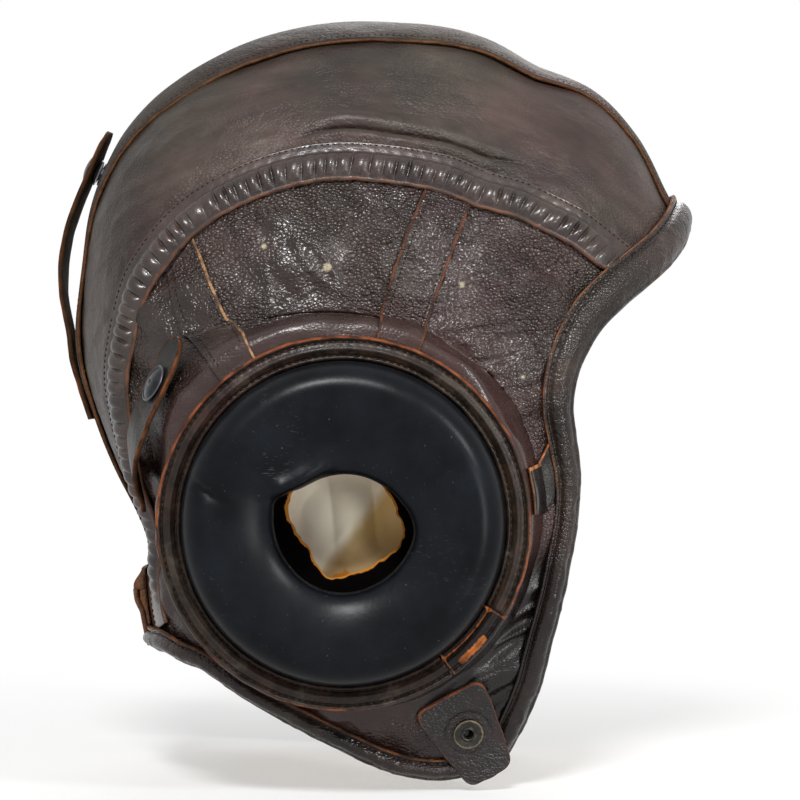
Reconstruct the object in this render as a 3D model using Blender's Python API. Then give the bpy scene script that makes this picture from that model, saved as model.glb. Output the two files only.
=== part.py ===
"""Leather flying helmet with rubber ear cups, at rest on the head form that fills it.

Metres, +Z up, +X towards the face and -Y to the wearer's right. The origin lies midway between the
ears, on the axis of the ear cups. A place on the head form is given by two angles in degrees: the
first runs round the ear axis, from the face over the crown, and the second runs out from the middle
plane, 0 at the middle and 90 at the ear.
"""

import math

import bmesh
import bpy
import numpy as np
from mathutils import Matrix, Vector

# Head form, which is the inner face of the leather
CROWN_REACH = 0.168
HALF_BREADTH = 0.080
FULLNESS = 2.4
REACH_SHARES = (
    (40, 0.890),
    (46, 0.918),
    (53, 0.966),
    (60, 0.994),
    (67, 0.986),
    (74, 1.004),
    (84, 1.0),
    (95, 0.990),
    (106, 0.963),
    (117, 0.914),
    (127, 0.835),
    (137, 0.730),
    (148, 0.637),
    (158, 0.545),
    (168, 0.473),
    (178, 0.420),
    (188, 0.398),
    (200, 0.420),
    (214, 0.455),
    (232, 0.510),
    (245, 0.560),
    (264, 0.643),
    (281, 0.726),
    (290, 0.744),
    (309, 0.705),
    (335, 0.688),
    (360, 0.685),
    (373, 0.703),
    (385, 0.765),
)

# Lines on the right half of the form, in degrees
BROW_EDGE_DEGREES = ((40.8, 0), (40.4, 10), (39.6, 19), (38.9, 27.5), (38.7, 36.5))
CHEEK_EDGE_DEGREES = (
    (38.7, 36.5),
    (38.6, 42),
    (38, 47),
    (36.4, 51.2),
    (33.2, 54.5),
    (27.5, 55.7),
    (20, 54.6),
    (11, 53.3),
    (0, 53.9),
    (-14, 54.5),
    (-30, 52.8),
    (-42, 48.6),
    (-51, 45),
    (-57.5, 42.5),
)
JAW_EDGE_DEGREES = (
    (-57.5, 42.5),
    (-66, 46.6),
    (-75, 50.2),
    (-87, 52.8),
    (-98, 53),
    (-108, 51.6),
    (-118, 48.4),
    (-127, 44),
    (-135, 38),
    (-141, 30),
    (-143.4, 24),
)
NAPE_EDGE_DEGREES = ((-143.4, 24), (-144.8, 13), (-145.3, 0))
ARCH_DEGREES = (
    (38.7, 36.5),
    (44.7, 39.6),
    (51, 43.8),
    (58, 47.5),
    (66, 48.7),
    (77, 49.8),
    (91, 49.3),
    (109, 48.3),
    (124, 45.6),
    (134, 41.6),
    (144, 39),
    (153.4, 36.2),
    (163, 32),
    (173, 26.5),
    (190, 22.5),
    (205, 22),
    (216.6, 24),
)

# Ear angles to which the corners of the side panel and of the lining run
PANEL_CORNER_DEGREES = (43, -57, -160)
LINING_CORNER_DEGREES = (60, 34, -57, -138, -165)

# Leather, and the gap that keeps touching pieces apart
LEATHER = 0.0016
TRIM_LEATHER = 0.0014
GAP = 0.0003
SEAT_GAP = 0.0004
OVERLAY_CLEARANCE = 0.00015
LAP = 0.006

# Ear ring, which sets the drum below it and the rubber cup inside it
RING_OUTER_RADIUS = 0.0600
RING_WIDTH = 0.0080
RING_OVERHANG = 0.0025
RING_INNER_RADIUS = RING_OUTER_RADIUS - RING_WIDTH
RING_CROWN = 0.0005
RING_PATCH_DEGREES = (-54, -30)
RING_JOINT_DEGREES = 0.6

# Ear drum: the side panel drawn up round the ear cup
DRUM_HEIGHT = 0.095
DRUM_BRIM = 0.0053
DRUM_RADIUS = RING_OUTER_RADIUS - RING_OVERHANG
DRUM_HOLE_RADIUS = DRUM_RADIUS - DRUM_BRIM
SHOULDER_REACH = 0.024
SHOULDER_SHARES = (
    (-160, 0.05),
    (-130, 0.05),
    (-90, 0.08),
    (-60, 0.16),
    (-30, 0.24),
    (0, 0.26),
    (45, 0.38),
    (80, 0.38),
    (110, 0.52),
    (126, 0.82),
    (140, 1.05),
    (150, 0.80),
    (158, 0.50),
    (165, 0.28),
    (173, 0.13),
    (185, 0.07),
    (200, 0.05),
)
SHOULDER_BLEND_SHARE = 0.42

# Crown strip
STRIP_HALF_WIDTH = 0.034
STRIP_WIDTH_SHARES = (
    (40, 0.56),
    (50, 0.60),
    (60, 0.74),
    (72, 0.86),
    (84, 0.94),
    (100, 1.0),
    (112, 0.97),
    (121, 0.82),
    (140, 0.58),
    (165, 0.42),
    (215, 0.40),
)
STRIP_TUCK = 0.003

# Arch band
ARCH_WIDTH = 0.0130
ARCH_BULGE = 0.0022
ARCH_TUCK = 0.0065
ARCH_BULGE_FADE = 0.016
ARCH_OUTLINE_SHARES = (
    (-1, 0, 0),
    (0, 0, 0),
    (1, 0, 0),
    (1, 1, 0),
    (0.62, 1, 0.62),
    (0.1, 1, 1),
    (-0.45, 1, 0.72),
    (-0.72, 1, 0.1),
    (-1, 1, 0),
)

# Bindings of the free edge
BINDING_ROLL = 0.0022
BINDING_CROWN = 0.0004
BINDING_CLEARANCE = 0.0005
BINDING_DEPTH = 0.0010
BAND_STEP_CLEARANCE = 0.0003
BINDING_INNER_LEG = 0.0055
BINDING_ROLL_SHARE = 0.72
BAND_STEP_SHARES = (0.9, 1.8)
FACE_BAND_WIDTH = 0.0115
FACE_BAND_SHARES = ((0, 1.0), (0.35, 1.0), (0.5, 0.86), (0.62, 0.74), (0.8, 0.76), (1, 0.8))
NECK_BAND_WIDTH = 0.0062
CHIN_JOINT_GAP = 0.0006
CHEEK_BAND_SHARE = 0.62

# Lining
LINING = 0.0012
LINING_GAP = 0.0008
LINING_EDGE_GAP = 0.0013
LINING_SLACK = 0.0014
LINING_SLACK_DEGREES = 18
LINING_HOLE_RADIUS = 0.0195
LINING_TRIM_SHARE = 0.005

# Tapes over the side panel, as ear angles at the ring and at the arch band
FRONT_TAPE_RING_DEGREES = (66, 80)
FRONT_TAPE_ARCH_DEGREES = (67.2, 75.4)
REAR_TAPE_RING_DEGREES = (118, 131)
REAR_TAPE_ARCH_DEGREES = (116.7, 124.2)
CHEEK_PATCH_DEGREES = (2.5, 16.5)

# Rubber cup
CUP_PLAY = 0.0015
CUP_RADIUS = RING_INNER_RADIUS - CUP_PLAY
CUP_HEIGHT = 0.0155
CUP_WALL = 0.0026
CUP_FLANGE = 0.0021
CUP_FLANGE_INSET = 0.0013
CUP_FLANGE_RADIUS = DRUM_RADIUS - CUP_FLANGE_INSET
CUP_CREST_SHARE = 0.70
CUP_RISE_SHARE = 0.62
CUP_HOLE_RADIUS = 0.0220
CUP_LIP_DROP = 0.0075
CUP_LIP_SAG = 0.0055
CUP_SAG_DEGREES = 38

# Snap fasteners
CAP_RADIUS = 0.0064
CAP_HEIGHT = 0.0021
CAP_RIM = 0.0006
CAP_DOME_SHARES = ((0, 1), (0.45, 0.93), (0.8, 0.68))
SNAP_BARREL_RADIUS = 0.0021
SOCKET_RADIUS = 0.0046
SOCKET_HEIGHT = 0.0011
STUD_RADIUS = 0.0042
STUD_BASE = 0.0007
STUD_NECK_RADIUS = 0.0014

# Goggle tabs: centre line as ear angles and shares of the ring's radius
TAB_LEATHER = 0.0016
GOGGLE_TAB_WIDTH = 0.0170
GOGGLE_TAB_LINE_SHARES = (
    (170.5, 1.055),
    (163.5, 1.063),
    (156, 1.082),
    (148, 1.115),
    (140.5, 1.155),
    (134.5, 1.180),
)
GOGGLE_TAB_LIFT = 0.0048
GOGGLE_TAB_LIFT_SHARES = ((0, 1.0), (0.2, 1.35), (0.4, 1.3), (0.65, 1.0), (1, 1.0))
GOGGLE_TAB_LEAN_SHARE = 0.15
GOGGLE_TAB_ROOT_SHARE = 0.18
GOGGLE_SNAP_SHARE = 0.74
STRAP_TIP_SHARE = 0.45
SEAM = 0.0012

# Back strap: from its sewn end to its tip, in degrees on the middle plane
BACK_STRAP_DEGREES = (158, 120)
BACK_STRAP_WIDTH = 0.020
BACK_STRAP_GAP = 0.0058
BACK_STRAP_SNAP_SHARE = 0.86
BACK_STRAP_GAP_SHARES = (
    (0, 0),
    (0.2, 0.03),
    (0.34, 0.22),
    (0.48, 0.82),
    (0.58, 1.0),
    (0.68, 0.84),
    (0.78, 0.52),
    (1, 0.52),
)

# Chin tabs: flat flaps hung from their upper edge
CHIN_TAB_WIDTH = 0.0255
CHIN_TAB_LENGTH = 0.0320
CHIN_TAB_DRAW_IN = 0.0045
CHIN_TAB_CORNER = 0.0030
CHIN_TAB_EAR_DEGREES = -59.7
CHIN_TAB_TURN_DEGREES = -2
CHIN_TAB_TILT_DEGREES = 17
CHIN_TAB_STAND_OFF = 0.0009
CHIN_TAB_RING_GAP = 0.0052
MASK_SNAP_SHARE = 0.47
MASK_SNAP_RADIUS = 0.0050
MASK_SNAP_BORE = 0.0017
MASK_SNAP_BARREL = 0.0026
MASK_SNAP_LIP = 0.0009
MASK_SNAP_DOME_SHARES = ((0.84, 1), (1, 0.6))

# Nape tab
NAPE_TAB_WIDTH = 0.030
NAPE_TAB_DEGREES = (201, 215)
NAPE_TAB_TIP_SHARE = 0.92

# Facets
ARCH_STATIONS = 24
EDGE_PITCH = 0.010
CHEEK_STATIONS = 12
JAW_STATIONS = 11
PANEL_SHOULDER_ROWS = 4
PANEL_FIELD_ROWS = 4
CROWN_ROWS = 5
STRIP_COLUMNS = 4
LINING_STATIONS = (13, 3, 7, 6, 3)
LINING_ROWS = 5
CUP_SIDES = 28
CUP_ARC_ROWS = 4
SNAP_SIDES = 14
STRAP_ROWS = 9
STRIP_KNOTS = 24
CURVE_SAMPLES = 160
DRAPE_STEPS = 4
SLOPE_STEP_DEGREES = 0.25
SIDE_STEP_DEGREES = 1
ROW_STEP_SHARE = 0.02
SHARP_DEGREES = 40
WELD = 0.000003

RIGHT, LEFT = "right", "left"
CROWN_LIFT = LEATHER + SEAT_GAP
OVER_LIFT = CROWN_LIFT + TRIM_LEATHER + SEAT_GAP
BAND_OVER_LIFT = OVER_LIFT + BAND_STEP_CLEARANCE


def clear_scene():
    for thing in list(bpy.data.objects):
        bpy.data.objects.remove(thing, do_unlink=True)


def material(name, colour, roughness, metallic=0.0):
    made = bpy.data.materials.new(name)
    made.use_nodes = True
    shader = made.node_tree.nodes["Principled BSDF"]
    shader.inputs["Base Color"].default_value = (*colour, 1.0)
    shader.inputs["Roughness"].default_value = roughness
    shader.inputs["Metallic"].default_value = metallic
    return made


# Curves and tables


def hermite(low, high, slope_low, slope_high, share):
    """Cubic between two values whose slopes are given over the whole span."""
    square, cube = share * share, share * share * share
    return (
        (2 * cube - 3 * square + 1) * low
        + (cube - 2 * square + share) * slope_low
        + (3 * square - 2 * cube) * high
        + (cube - square) * slope_high
    )


def table_value(table, place, period=None):
    """Smooth value of a table of (place, value) pairs, round and round if it has a period."""
    rows = list(table)
    if period:
        place = (place - rows[0][0]) % period + rows[0][0]
        rows = [(rows[-1][0] - period, rows[-1][1]), *rows]
        rows += [(rows[1][0] + period, rows[1][1]), (rows[2][0] + period, rows[2][1])]
    places = [row[0] for row in rows]
    place = min(max(place, places[0]), places[-1])
    at = min(max(int(np.searchsorted(places, place)) - 1, 0), len(rows) - 2)
    slopes = []
    for k in (at, at + 1):
        before, after = rows[max(k - 1, 0)], rows[min(k + 1, len(rows) - 1)]
        slopes.append((after[1] - before[1]) / (after[0] - before[0]))
    span = places[at + 1] - places[at]
    share = (place - places[at]) / span
    return hermite(rows[at][1], rows[at + 1][1], slopes[0] * span, slopes[1] * span, share)


def even_curve(degrees, samples=CURVE_SAMPLES):
    """Angle pairs along a smooth line through the given pairs, at even distances on the form."""
    knots = np.array(degrees, float)
    padded = np.vstack([2 * knots[0] - knots[1], knots, 2 * knots[-1] - knots[-2]])
    dense = []
    for k in range(1, len(padded) - 2):
        slope_low = (padded[k + 1] - padded[k - 1]) / 2
        slope_high = (padded[k + 2] - padded[k]) / 2
        for share in np.linspace(0, 1, samples // (len(knots) - 1), endpoint=False):
            dense.append(hermite(padded[k], padded[k + 1], slope_low, slope_high, share))
    dense = np.array([*dense, knots[-1]])
    places = np.array([head_point(*pair) for pair in dense])
    run = np.concatenate([[0], np.cumsum(np.linalg.norm(np.diff(places, axis=0), axis=1))])
    even = np.linspace(0, run[-1], samples)
    return np.column_stack([np.interp(even, run, dense[:, 0]), np.interp(even, run, dense[:, 1])])


def along(curve, share):
    """The angle pair at a share of an even curve's length."""
    place = np.linspace(0, 1, len(curve))
    return np.array([np.interp(share, place, curve[:, 0]), np.interp(share, place, curve[:, 1])])


def curve_length(curve):
    places = np.array([head_point(*pair) for pair in curve])
    return np.linalg.norm(np.diff(places, axis=0), axis=1).sum()


# Head form: a section of constant fullness whose reach follows the side view


def reach(degrees):
    return CROWN_REACH * table_value(REACH_SHARES, degrees, 360)


def form_value_and_slope(place):
    """How far out a place lies, 1 on the form, and the direction in which that grows."""
    x, y, z = place
    radius = math.hypot(x, z)
    degrees = math.degrees(math.atan2(z, x))
    full = reach(degrees)
    turn = math.radians(2 * SLOPE_STEP_DEGREES)
    change = (reach(degrees + SLOPE_STEP_DEGREES) - reach(degrees - SLOPE_STEP_DEGREES)) / turn
    value = (radius / full) ** FULLNESS + abs(y / HALF_BREADTH) ** FULLNESS
    outward = np.array([x, 0, z]) / radius
    round_ear = np.array([-z, 0, x]) / radius
    steepness = FULLNESS * radius ** (FULLNESS - 1) / full**FULLNESS
    side = FULLNESS * abs(y) ** (FULLNESS - 1) / HALF_BREADTH**FULLNESS
    slope = steepness * outward - steepness * change / full * round_ear
    slope[1] = math.copysign(side, y)
    return value, slope


def head_normal(place):
    slope = form_value_and_slope(place)[1]
    return slope / np.linalg.norm(slope)


def head_point(degrees, out, lift=0.0):
    """A place on the right half of the form, or above it by the lift."""
    power = 2 / FULLNESS
    radius = reach(degrees) * max(math.cos(math.radians(out)), 0) ** power
    y = -HALF_BREADTH * math.sin(math.radians(out)) ** power
    turn = math.radians(degrees)
    place = np.array([radius * math.cos(turn), y, radius * math.sin(turn)])
    return place + lift * head_normal(place) if lift else place


def drape(place, lift=0.0):
    """The place moved onto the form, then out by the lift."""
    for _ in range(DRAPE_STEPS):
        value, slope = form_value_and_slope(place)
        place = place - (value - 1) * slope / (slope @ slope)
    return place + lift * head_normal(place)


def out_at_width(half_width):
    """Degrees out from the middle plane where the form has this half width."""
    return math.degrees(math.asin(min(half_width / HALF_BREADTH, 1) ** (FULLNESS / 2)))


def out_at_radius(degrees, radius):
    """Degrees out from the middle plane where the form lies this far from the ear axis."""
    return math.degrees(math.acos(min(radius / reach(degrees), 1) ** (FULLNESS / 2)))


def strip_half_width(degrees):
    return STRIP_HALF_WIDTH * table_value(STRIP_WIDTH_SHARES, degrees)


def places_of(*curves):
    return np.array([head_point(*pair) for curve in curves for pair in curve])


def distance_to(line, place):
    return np.linalg.norm(line - place, axis=1).min()


# Side panel map: ear angle, then rows -1 to 0 on the drum, to 1 down its shoulder, to 2 at the edge


def panel_edge(ear):
    """The angle pair on the side panel's outer edge that an ear angle runs to."""
    brow, chin, nape = PANEL_CORNER_DEGREES
    ear = (ear - nape) % 360 + nape
    if ear >= brow:
        return along(ARCH, (ear - brow) / (nape + 360 - brow))
    if ear >= chin:
        return along(CHEEK_EDGE, (brow - ear) / (brow - chin))
    return along(JAW_EDGE, (chin - ear) / (chin - nape))


def ear_angle_at_arch(degrees):
    """The ear angle that runs to this angle on the arch line."""
    brow, _, nape = PANEL_CORNER_DEGREES
    share = np.interp(degrees, ARCH[:, 0], np.linspace(0, 1, len(ARCH)))
    return brow + share * (nape + 360 - brow)


def shoulder_radius(ear):
    nape = PANEL_CORNER_DEGREES[2]
    wrapped = (ear - nape) % 360 + nape
    return DRUM_RADIUS + SHOULDER_REACH * table_value(SHOULDER_SHARES, wrapped)


def ear_direction(ear):
    return np.array([math.cos(math.radians(ear)), 0, math.sin(math.radians(ear))])


def shoulder_point(ear, share):
    """A place on the curve from the drum's rim down to the head form."""
    outward = ear_direction(ear)
    foot = shoulder_radius(ear)
    rim = DRUM_RADIUS * outward - np.array([0, DRUM_HEIGHT, 0])
    base_out = out_at_radius(ear, foot)
    base = head_point(ear, base_out)
    inner = head_point(ear, base_out + 1)
    inward = (inner - base) / np.linalg.norm(inner - base)
    pull = SHOULDER_BLEND_SHARE * (foot - DRUM_RADIUS)
    corners = (rim, rim + pull * outward, base + pull * inward, base)
    weights = (
        (1 - share) ** 3,
        3 * share * (1 - share) ** 2,
        3 * share**2 * (1 - share),
        share**3,
    )
    return sum(weight * corner for weight, corner in zip(weights, corners))


def bare_side_point(ear, row):
    if row <= 0:
        radius = DRUM_RADIUS + (DRUM_RADIUS - DRUM_HOLE_RADIUS) * row
        return radius * ear_direction(ear) - np.array([0, DRUM_HEIGHT, 0])
    if row <= 1:
        return shoulder_point(ear, row)
    start = np.array([ear, out_at_radius(ear, shoulder_radius(ear))])
    end = panel_edge(ear)
    turn = (end[0] - start[0] + 180) % 360 - 180
    pair = start + (row - 1) * np.array([turn, end[1] - start[1]])
    return head_point(*pair)


def side_frame(ear, row):
    """Place, outward normal and direction towards the edge at an ear angle and row."""
    place = bare_side_point(ear, row)
    low, high = max(row - ROW_STEP_SHARE, -1), min(row + ROW_STEP_SHARE, 2)
    down = bare_side_point(ear, high) - bare_side_point(ear, low)
    before, after = ear - SIDE_STEP_DEGREES, ear + SIDE_STEP_DEGREES
    round_ear = bare_side_point(after, row) - bare_side_point(before, row)
    normal = np.cross(down, round_ear)
    normal /= np.linalg.norm(normal)
    if normal @ (place - np.array([0, place[1] / 2, 0])) < 0:
        normal = -normal
    return place, normal, down / np.linalg.norm(down)


def side_point(ear, row, lift=0.0):
    place, normal, _ = side_frame(ear, row)
    return place + lift * normal


def ear_radius(ear, row):
    x, _, z = bare_side_point(ear, row)
    return math.hypot(x, z)


def row_at_radius(ear, radius):
    """The row at which the side panel lies this far from the ear axis."""
    rows = np.linspace(0, 2, CURVE_SAMPLES)
    radii = [ear_radius(ear, row) for row in rows]
    return float(np.interp(radius, radii, rows))


def row_at_distance(ear, line, distance):
    """The outermost row of the side panel that keeps this far from a line of places."""
    for row in np.linspace(2, 1, CURVE_SAMPLES):
        if distance_to(line, bare_side_point(ear, row)) >= distance:
            return float(row)
    return 1.0


# Building meshes


def add_object(name, mesh, finish, origin=None, parent=None):
    """An object whose mesh is in world places, with its origin moved where asked."""
    made = bpy.data.objects.new(name, mesh)
    bpy.context.scene.collection.objects.link(made)
    mesh.name = name
    mesh.materials.clear()
    mesh.materials.append(finish)
    mesh.shade_smooth()
    mesh.set_sharp_from_angle(angle=math.radians(SHARP_DEGREES))
    if origin is not None:
        mesh.transform(Matrix.Translation(-Vector(origin)))
        made.location = origin
    if parent is not None:
        made.parent = parent
        made.location = Vector(made.location) - parent.location
    return made


def mesh_of(points, faces, outward=True):
    mesh = bpy.data.meshes.new("form")
    mesh.from_pydata([tuple(point) for point in points], [], faces)
    if outward:
        work = bmesh.new()
        work.from_mesh(mesh)
        bmesh.ops.recalc_face_normals(work, faces=work.faces)
        work.to_mesh(mesh)
        work.free()
    mesh.update()
    return mesh


def grid_faces(columns, rows, closed=False):
    """Quads of a grid whose points run row by row inside each column."""
    faces = []
    for i in range(columns if closed else columns - 1):
        after = (i + 1) % columns
        for j in range(rows - 1):
            faces.append((i * rows + j, after * rows + j, after * rows + j + 1, i * rows + j + 1))
    return faces


def sheet_mesh(grid, thickness, closed=False, inward=False):
    """A leather sheet of even thickness, on the outer or the inner side of a grid of places."""
    points = [point for column in grid for point in column]
    faces = grid_faces(len(grid), len(grid[0]), closed)
    mesh = mesh_of(points, faces, outward=False)
    middle = np.array([0, HALF_BREADTH / 2 * np.sign(np.mean([p[1] for p in points])), 0])
    facing = 0.0
    for face in mesh.polygons:
        facing += face.area * (np.array(face.center) - middle) @ np.array(face.normal)
    if facing < 0:
        mesh.flip_normals()
    work = bmesh.new()
    work.from_mesh(mesh)
    work.normal_update()
    solidify(work, thickness, inward)
    work.to_mesh(mesh)
    work.free()
    return mesh


def solidify(work, thickness, inward):
    """Offsets every point along its normal, then closes the rim between the two skins."""
    base = list(work.verts)
    skin = list(work.faces)
    rim = [edge for edge in work.edges if edge.is_boundary]
    sign = -1 if inward else 1
    twin = {vert: work.verts.new(vert.co + sign * thickness * vert.normal) for vert in base}
    for face in skin:
        work.faces.new([twin[vert] for vert in face.verts])
    for edge in rim:
        first, second = edge.verts
        work.faces.new((first, second, twin[second], twin[first]))
    bmesh.ops.recalc_face_normals(work, faces=work.faces)


def loft_mesh(loops, closed=False):
    """A solid through closed sections, capped at its ends unless it closes on itself."""
    size = len(loops[0])
    points = [point for loop in loops for point in loop]
    faces = []
    for i in range(len(loops) if closed else len(loops) - 1):
        after = (i + 1) % len(loops)
        for j in range(size):
            k = (j + 1) % size
            faces.append((i * size + j, after * size + j, after * size + k, i * size + k))
    if not closed:
        faces.append(tuple(range(size)))
        last = (len(loops) - 1) * size
        faces.append(tuple(last + j for j in range(size)))
    return mesh_of(points, faces)


def mirrored(mesh):
    twin = mesh.copy()
    twin.transform(Matrix.Diagonal((1, -1, 1, 1)))
    twin.flip_normals()
    return twin


def other_side(place):
    return Vector((place[0], -place[1], place[2]))


def add_pair(name, mesh, finish, origin=None, parents=None):
    """The right piece and its mirror image on the left."""
    parents = parents or {RIGHT: None, LEFT: None}
    twin = mirrored(mesh)
    far = None if origin is None else other_side(origin)
    near = None if origin is None else Vector(origin)
    return {
        RIGHT: add_object(f"{name}_{RIGHT}", mesh, finish, near, parents[RIGHT]),
        LEFT: add_object(f"{name}_{LEFT}", twin, finish, far, parents[LEFT]),
    }


def turned_mesh(profile, sides, frame=None):
    """A profile of (radius, height) pairs turned about the local Z axis, then placed."""
    work = bmesh.new()
    verts = [work.verts.new((radius, 0, height)) for radius, height in profile]
    open_ended = profile[0][0] == 0 and profile[-1][0] == 0
    pairs = list(zip(verts, verts[1:])) + ([] if open_ended else [(verts[-1], verts[0])])
    edges = [work.edges.new(pair) for pair in pairs]
    bmesh.ops.spin(
        work,
        geom=verts + edges,
        cent=(0, 0, 0),
        axis=(0, 0, 1),
        angle=math.tau,
        steps=sides,
    )
    bmesh.ops.remove_doubles(work, verts=work.verts, dist=WELD)
    bmesh.ops.recalc_face_normals(work, faces=work.faces)
    mesh = bpy.data.meshes.new("turned")
    work.to_mesh(mesh)
    work.free()
    if frame is not None:
        mesh.transform(frame)
    return mesh


def frame_matrix(place, normal, forward):
    """Local X across, Y forward and Z along the normal."""
    up = Vector(normal).normalized()
    ahead = (Vector(forward) - Vector(forward).dot(up) * up).normalized()
    across = ahead.cross(up)
    matrix = Matrix((across, ahead, up)).transposed().to_4x4()
    matrix.translation = Vector(place)
    return matrix


def ear_frame():
    """Local Z points out of the right ear and local X towards the face."""
    return Matrix(((1, 0, 0, 0), (0, 0, -1, 0), (0, 1, 0, 0), (0, 0, 0, 1)))


# Shell


def add_side_panels(finish):
    brow, chin, nape = PANEL_CORNER_DEGREES
    ears = [
        *np.linspace(brow, nape + 360, ARCH_STATIONS, endpoint=False),
        *np.linspace(nape + 360, chin + 360, JAW_STATIONS, endpoint=False),
        *np.linspace(chin + 360, brow + 360, CHEEK_STATIONS, endpoint=False),
    ]
    rows = panel_rows()
    grid = []
    for ear in ears:
        column = [bare_side_point(ear, row) for row in rows]
        inward = column[-2] - column[-1]
        column[-1] = column[-1] + GAP * inward / np.linalg.norm(inward)
        grid.append(column)
    return add_pair("side_panel", sheet_mesh(grid, LEATHER, closed=True), finish)


def panel_rows():
    shoulder = np.linspace(0, 1, PANEL_SHOULDER_ROWS + 1)
    field = np.linspace(1, 2, PANEL_FIELD_ROWS + 1)[1:]
    return [-1.0, *shoulder, *field]


def arch_stations():
    """Shares along the arch at which the crown pieces and the arch band share their facets."""
    return np.linspace(0, 1, ARCH_STATIONS + 1)


def crown_column(share):
    """Angle pairs from the arch up to the lap under the crown strip."""
    low = along(ARCH, share)
    degrees = along(STRIP_INNER, share)[0]
    high = np.array([degrees, out_at_width(strip_half_width(degrees) - LAP)])
    pairs = [low + up * (high - low) for up in np.linspace(0, 1, CROWN_ROWS + 1)]
    for end, edge in ((0, BROW_EDGE), (1, NAPE_EDGE)):
        if share == end:
            order = np.argsort(edge[:, 1])
            turn = 360 * end
            pairs = [(np.interp(out, edge[order, 1], edge[order, 0]) + turn, out) for _, out in pairs]
    return pairs


def add_crown_panels(finish):
    grid = []
    for share in arch_stations():
        column = [head_point(*pair) for pair in crown_column(share)]
        upward = column[1] - column[0]
        column[0] = column[0] + GAP * upward / np.linalg.norm(upward)
        grid.append(column)
    return add_pair("crown_panel", sheet_mesh(grid, LEATHER), finish)


def strip_column(degrees):
    """Places across the crown strip, with two of them over the edges of the crown panels."""
    half = strip_half_width(degrees)
    inner = half - LAP
    widths = [-half, *np.linspace(-inner, inner, STRIP_COLUMNS + 1), half]
    column = []
    for width in widths:
        place = head_point(degrees, out_at_width(abs(width)), CROWN_LIFT)
        column.append(place * (1, math.copysign(1, width), 1))
    return column


def add_crown_strip(finish):
    tuck = STRIP_TUCK / curve_length(STRIP_INNER)
    shares = arch_stations()
    shares[0], shares[-1] = tuck, 1 - tuck
    grid = [strip_column(along(STRIP_INNER, share)[0]) for share in shares]
    mesh = sheet_mesh(grid, TRIM_LEATHER)
    return add_object("crown_strip", mesh, finish)


def lining_slack(degrees):
    """How far the lining hangs off the leather, none near the brow and nape edges."""
    front, back = BROW_EDGE_DEGREES[0][0], NAPE_EDGE_DEGREES[-1][0] + 360
    turned = degrees % 360
    inside = min(turned - front, back - turned) / LINING_SLACK_DEGREES
    return LINING_SLACK * min(max(inside, 0), 1)


def add_lining(finish):
    """Chamois inside both halves, each half a fan of rays from its ear hole to the middle and edge."""
    inset = BINDING_INNER_LEG + LINING_EDGE_GAP
    turn = math.degrees(inset / CROWN_REACH)
    front, back = BROW_EDGE_DEGREES[0][0] + turn, NAPE_EDGE_DEGREES[-1][0] + 360 - 2 * turn
    top = even_curve(tuple((degrees, 0) for degrees in np.linspace(back, front, LINING_ROWS)))
    stretches = (top, BROW_EDGE, CHEEK_EDGE, JAW_EDGE, NAPE_EDGE)
    insets = (0, inset, inset, inset, inset)
    turns = (LINING_CORNER_DEGREES[-1] + 360, *LINING_CORNER_DEGREES)
    grid = []
    for k, (curve, count) in enumerate(zip(stretches, LINING_STATIONS)):
        shares = np.linspace(0, 1, count + 1)
        for share in shares[1 if curve is BROW_EDGE else 0 : None if curve is top else -1]:
            ear = turns[k] + share * (turns[k + 1] - turns[k])
            grid.append(lining_ray(ear, along(curve, share), insets[k]))
    faces = grid_faces(len(grid), LINING_ROWS + 1, True)
    half = mesh_of([place for ray in grid for place in ray], faces, False)
    work = bmesh.new()
    work.from_mesh(half)
    work.from_mesh(mirrored(half))
    bmesh.ops.remove_doubles(work, verts=work.verts, dist=GAP)
    bmesh.ops.recalc_face_normals(work, faces=work.faces)
    work.normal_update()
    if sum(face.calc_area() * face.normal.dot(face.calc_center_median()) for face in work.faces) < 0:
        bmesh.ops.reverse_faces(work, faces=work.faces)
        work.normal_update()
    solidify(work, LINING, inward=True)
    work.to_mesh(half)
    work.free()
    return add_object("lining", half, finish)


def lining_ray(ear, end, inset):
    """Places under the form from the ear hole to an angle pair, or short of the free edge."""
    start = np.array([ear, out_at_radius(ear, LINING_HOLE_RADIUS)])
    turn = (end[0] - start[0] + 180) % 360 - 180
    span = np.array([turn, end[1] - start[1]])
    reached = 1.0
    while inset and distance_to(FREE_EDGE, head_point(*(start + reached * span))) < inset:
        reached -= LINING_TRIM_SHARE
    ray = []
    for share in np.linspace(0, reached, LINING_ROWS + 1):
        degrees, out = start + share * span
        place = head_point(degrees, max(out, 0), -LINING_GAP - lining_slack(degrees))
        if out <= 0:
            place[1] = 0
        ray.append(place)
    return ray


# Bands laid along a line on the form


def band_frames(places):
    """For each place of a line on the form: the place, its normal and the direction across."""
    frames = []
    for k, place in enumerate(places):
        ahead = places[min(k + 1, len(places) - 1)] - places[max(k - 1, 0)]
        normal = head_normal(place)
        across = np.cross(ahead, normal)
        frames.append((place, normal, across / np.linalg.norm(across)))
    return frames


def draped_loop(frame, section):
    """The section's points laid over the form, and past the free edge straight on."""
    place, normal, across = frame
    loop = []
    for inward, height, free in section:
        point = place + inward * across
        loop.append(point + height * normal if free else drape(point, height))
    return loop


def arch_section(bulge):
    section = []
    for across, raised, puffed in ARCH_OUTLINE_SHARES:
        height = CROWN_LIFT + OVERLAY_CLEARANCE + raised * TRIM_LEATHER + puffed * bulge
        section.append((across * ARCH_WIDTH / 2, height, False))
    return section


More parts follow.
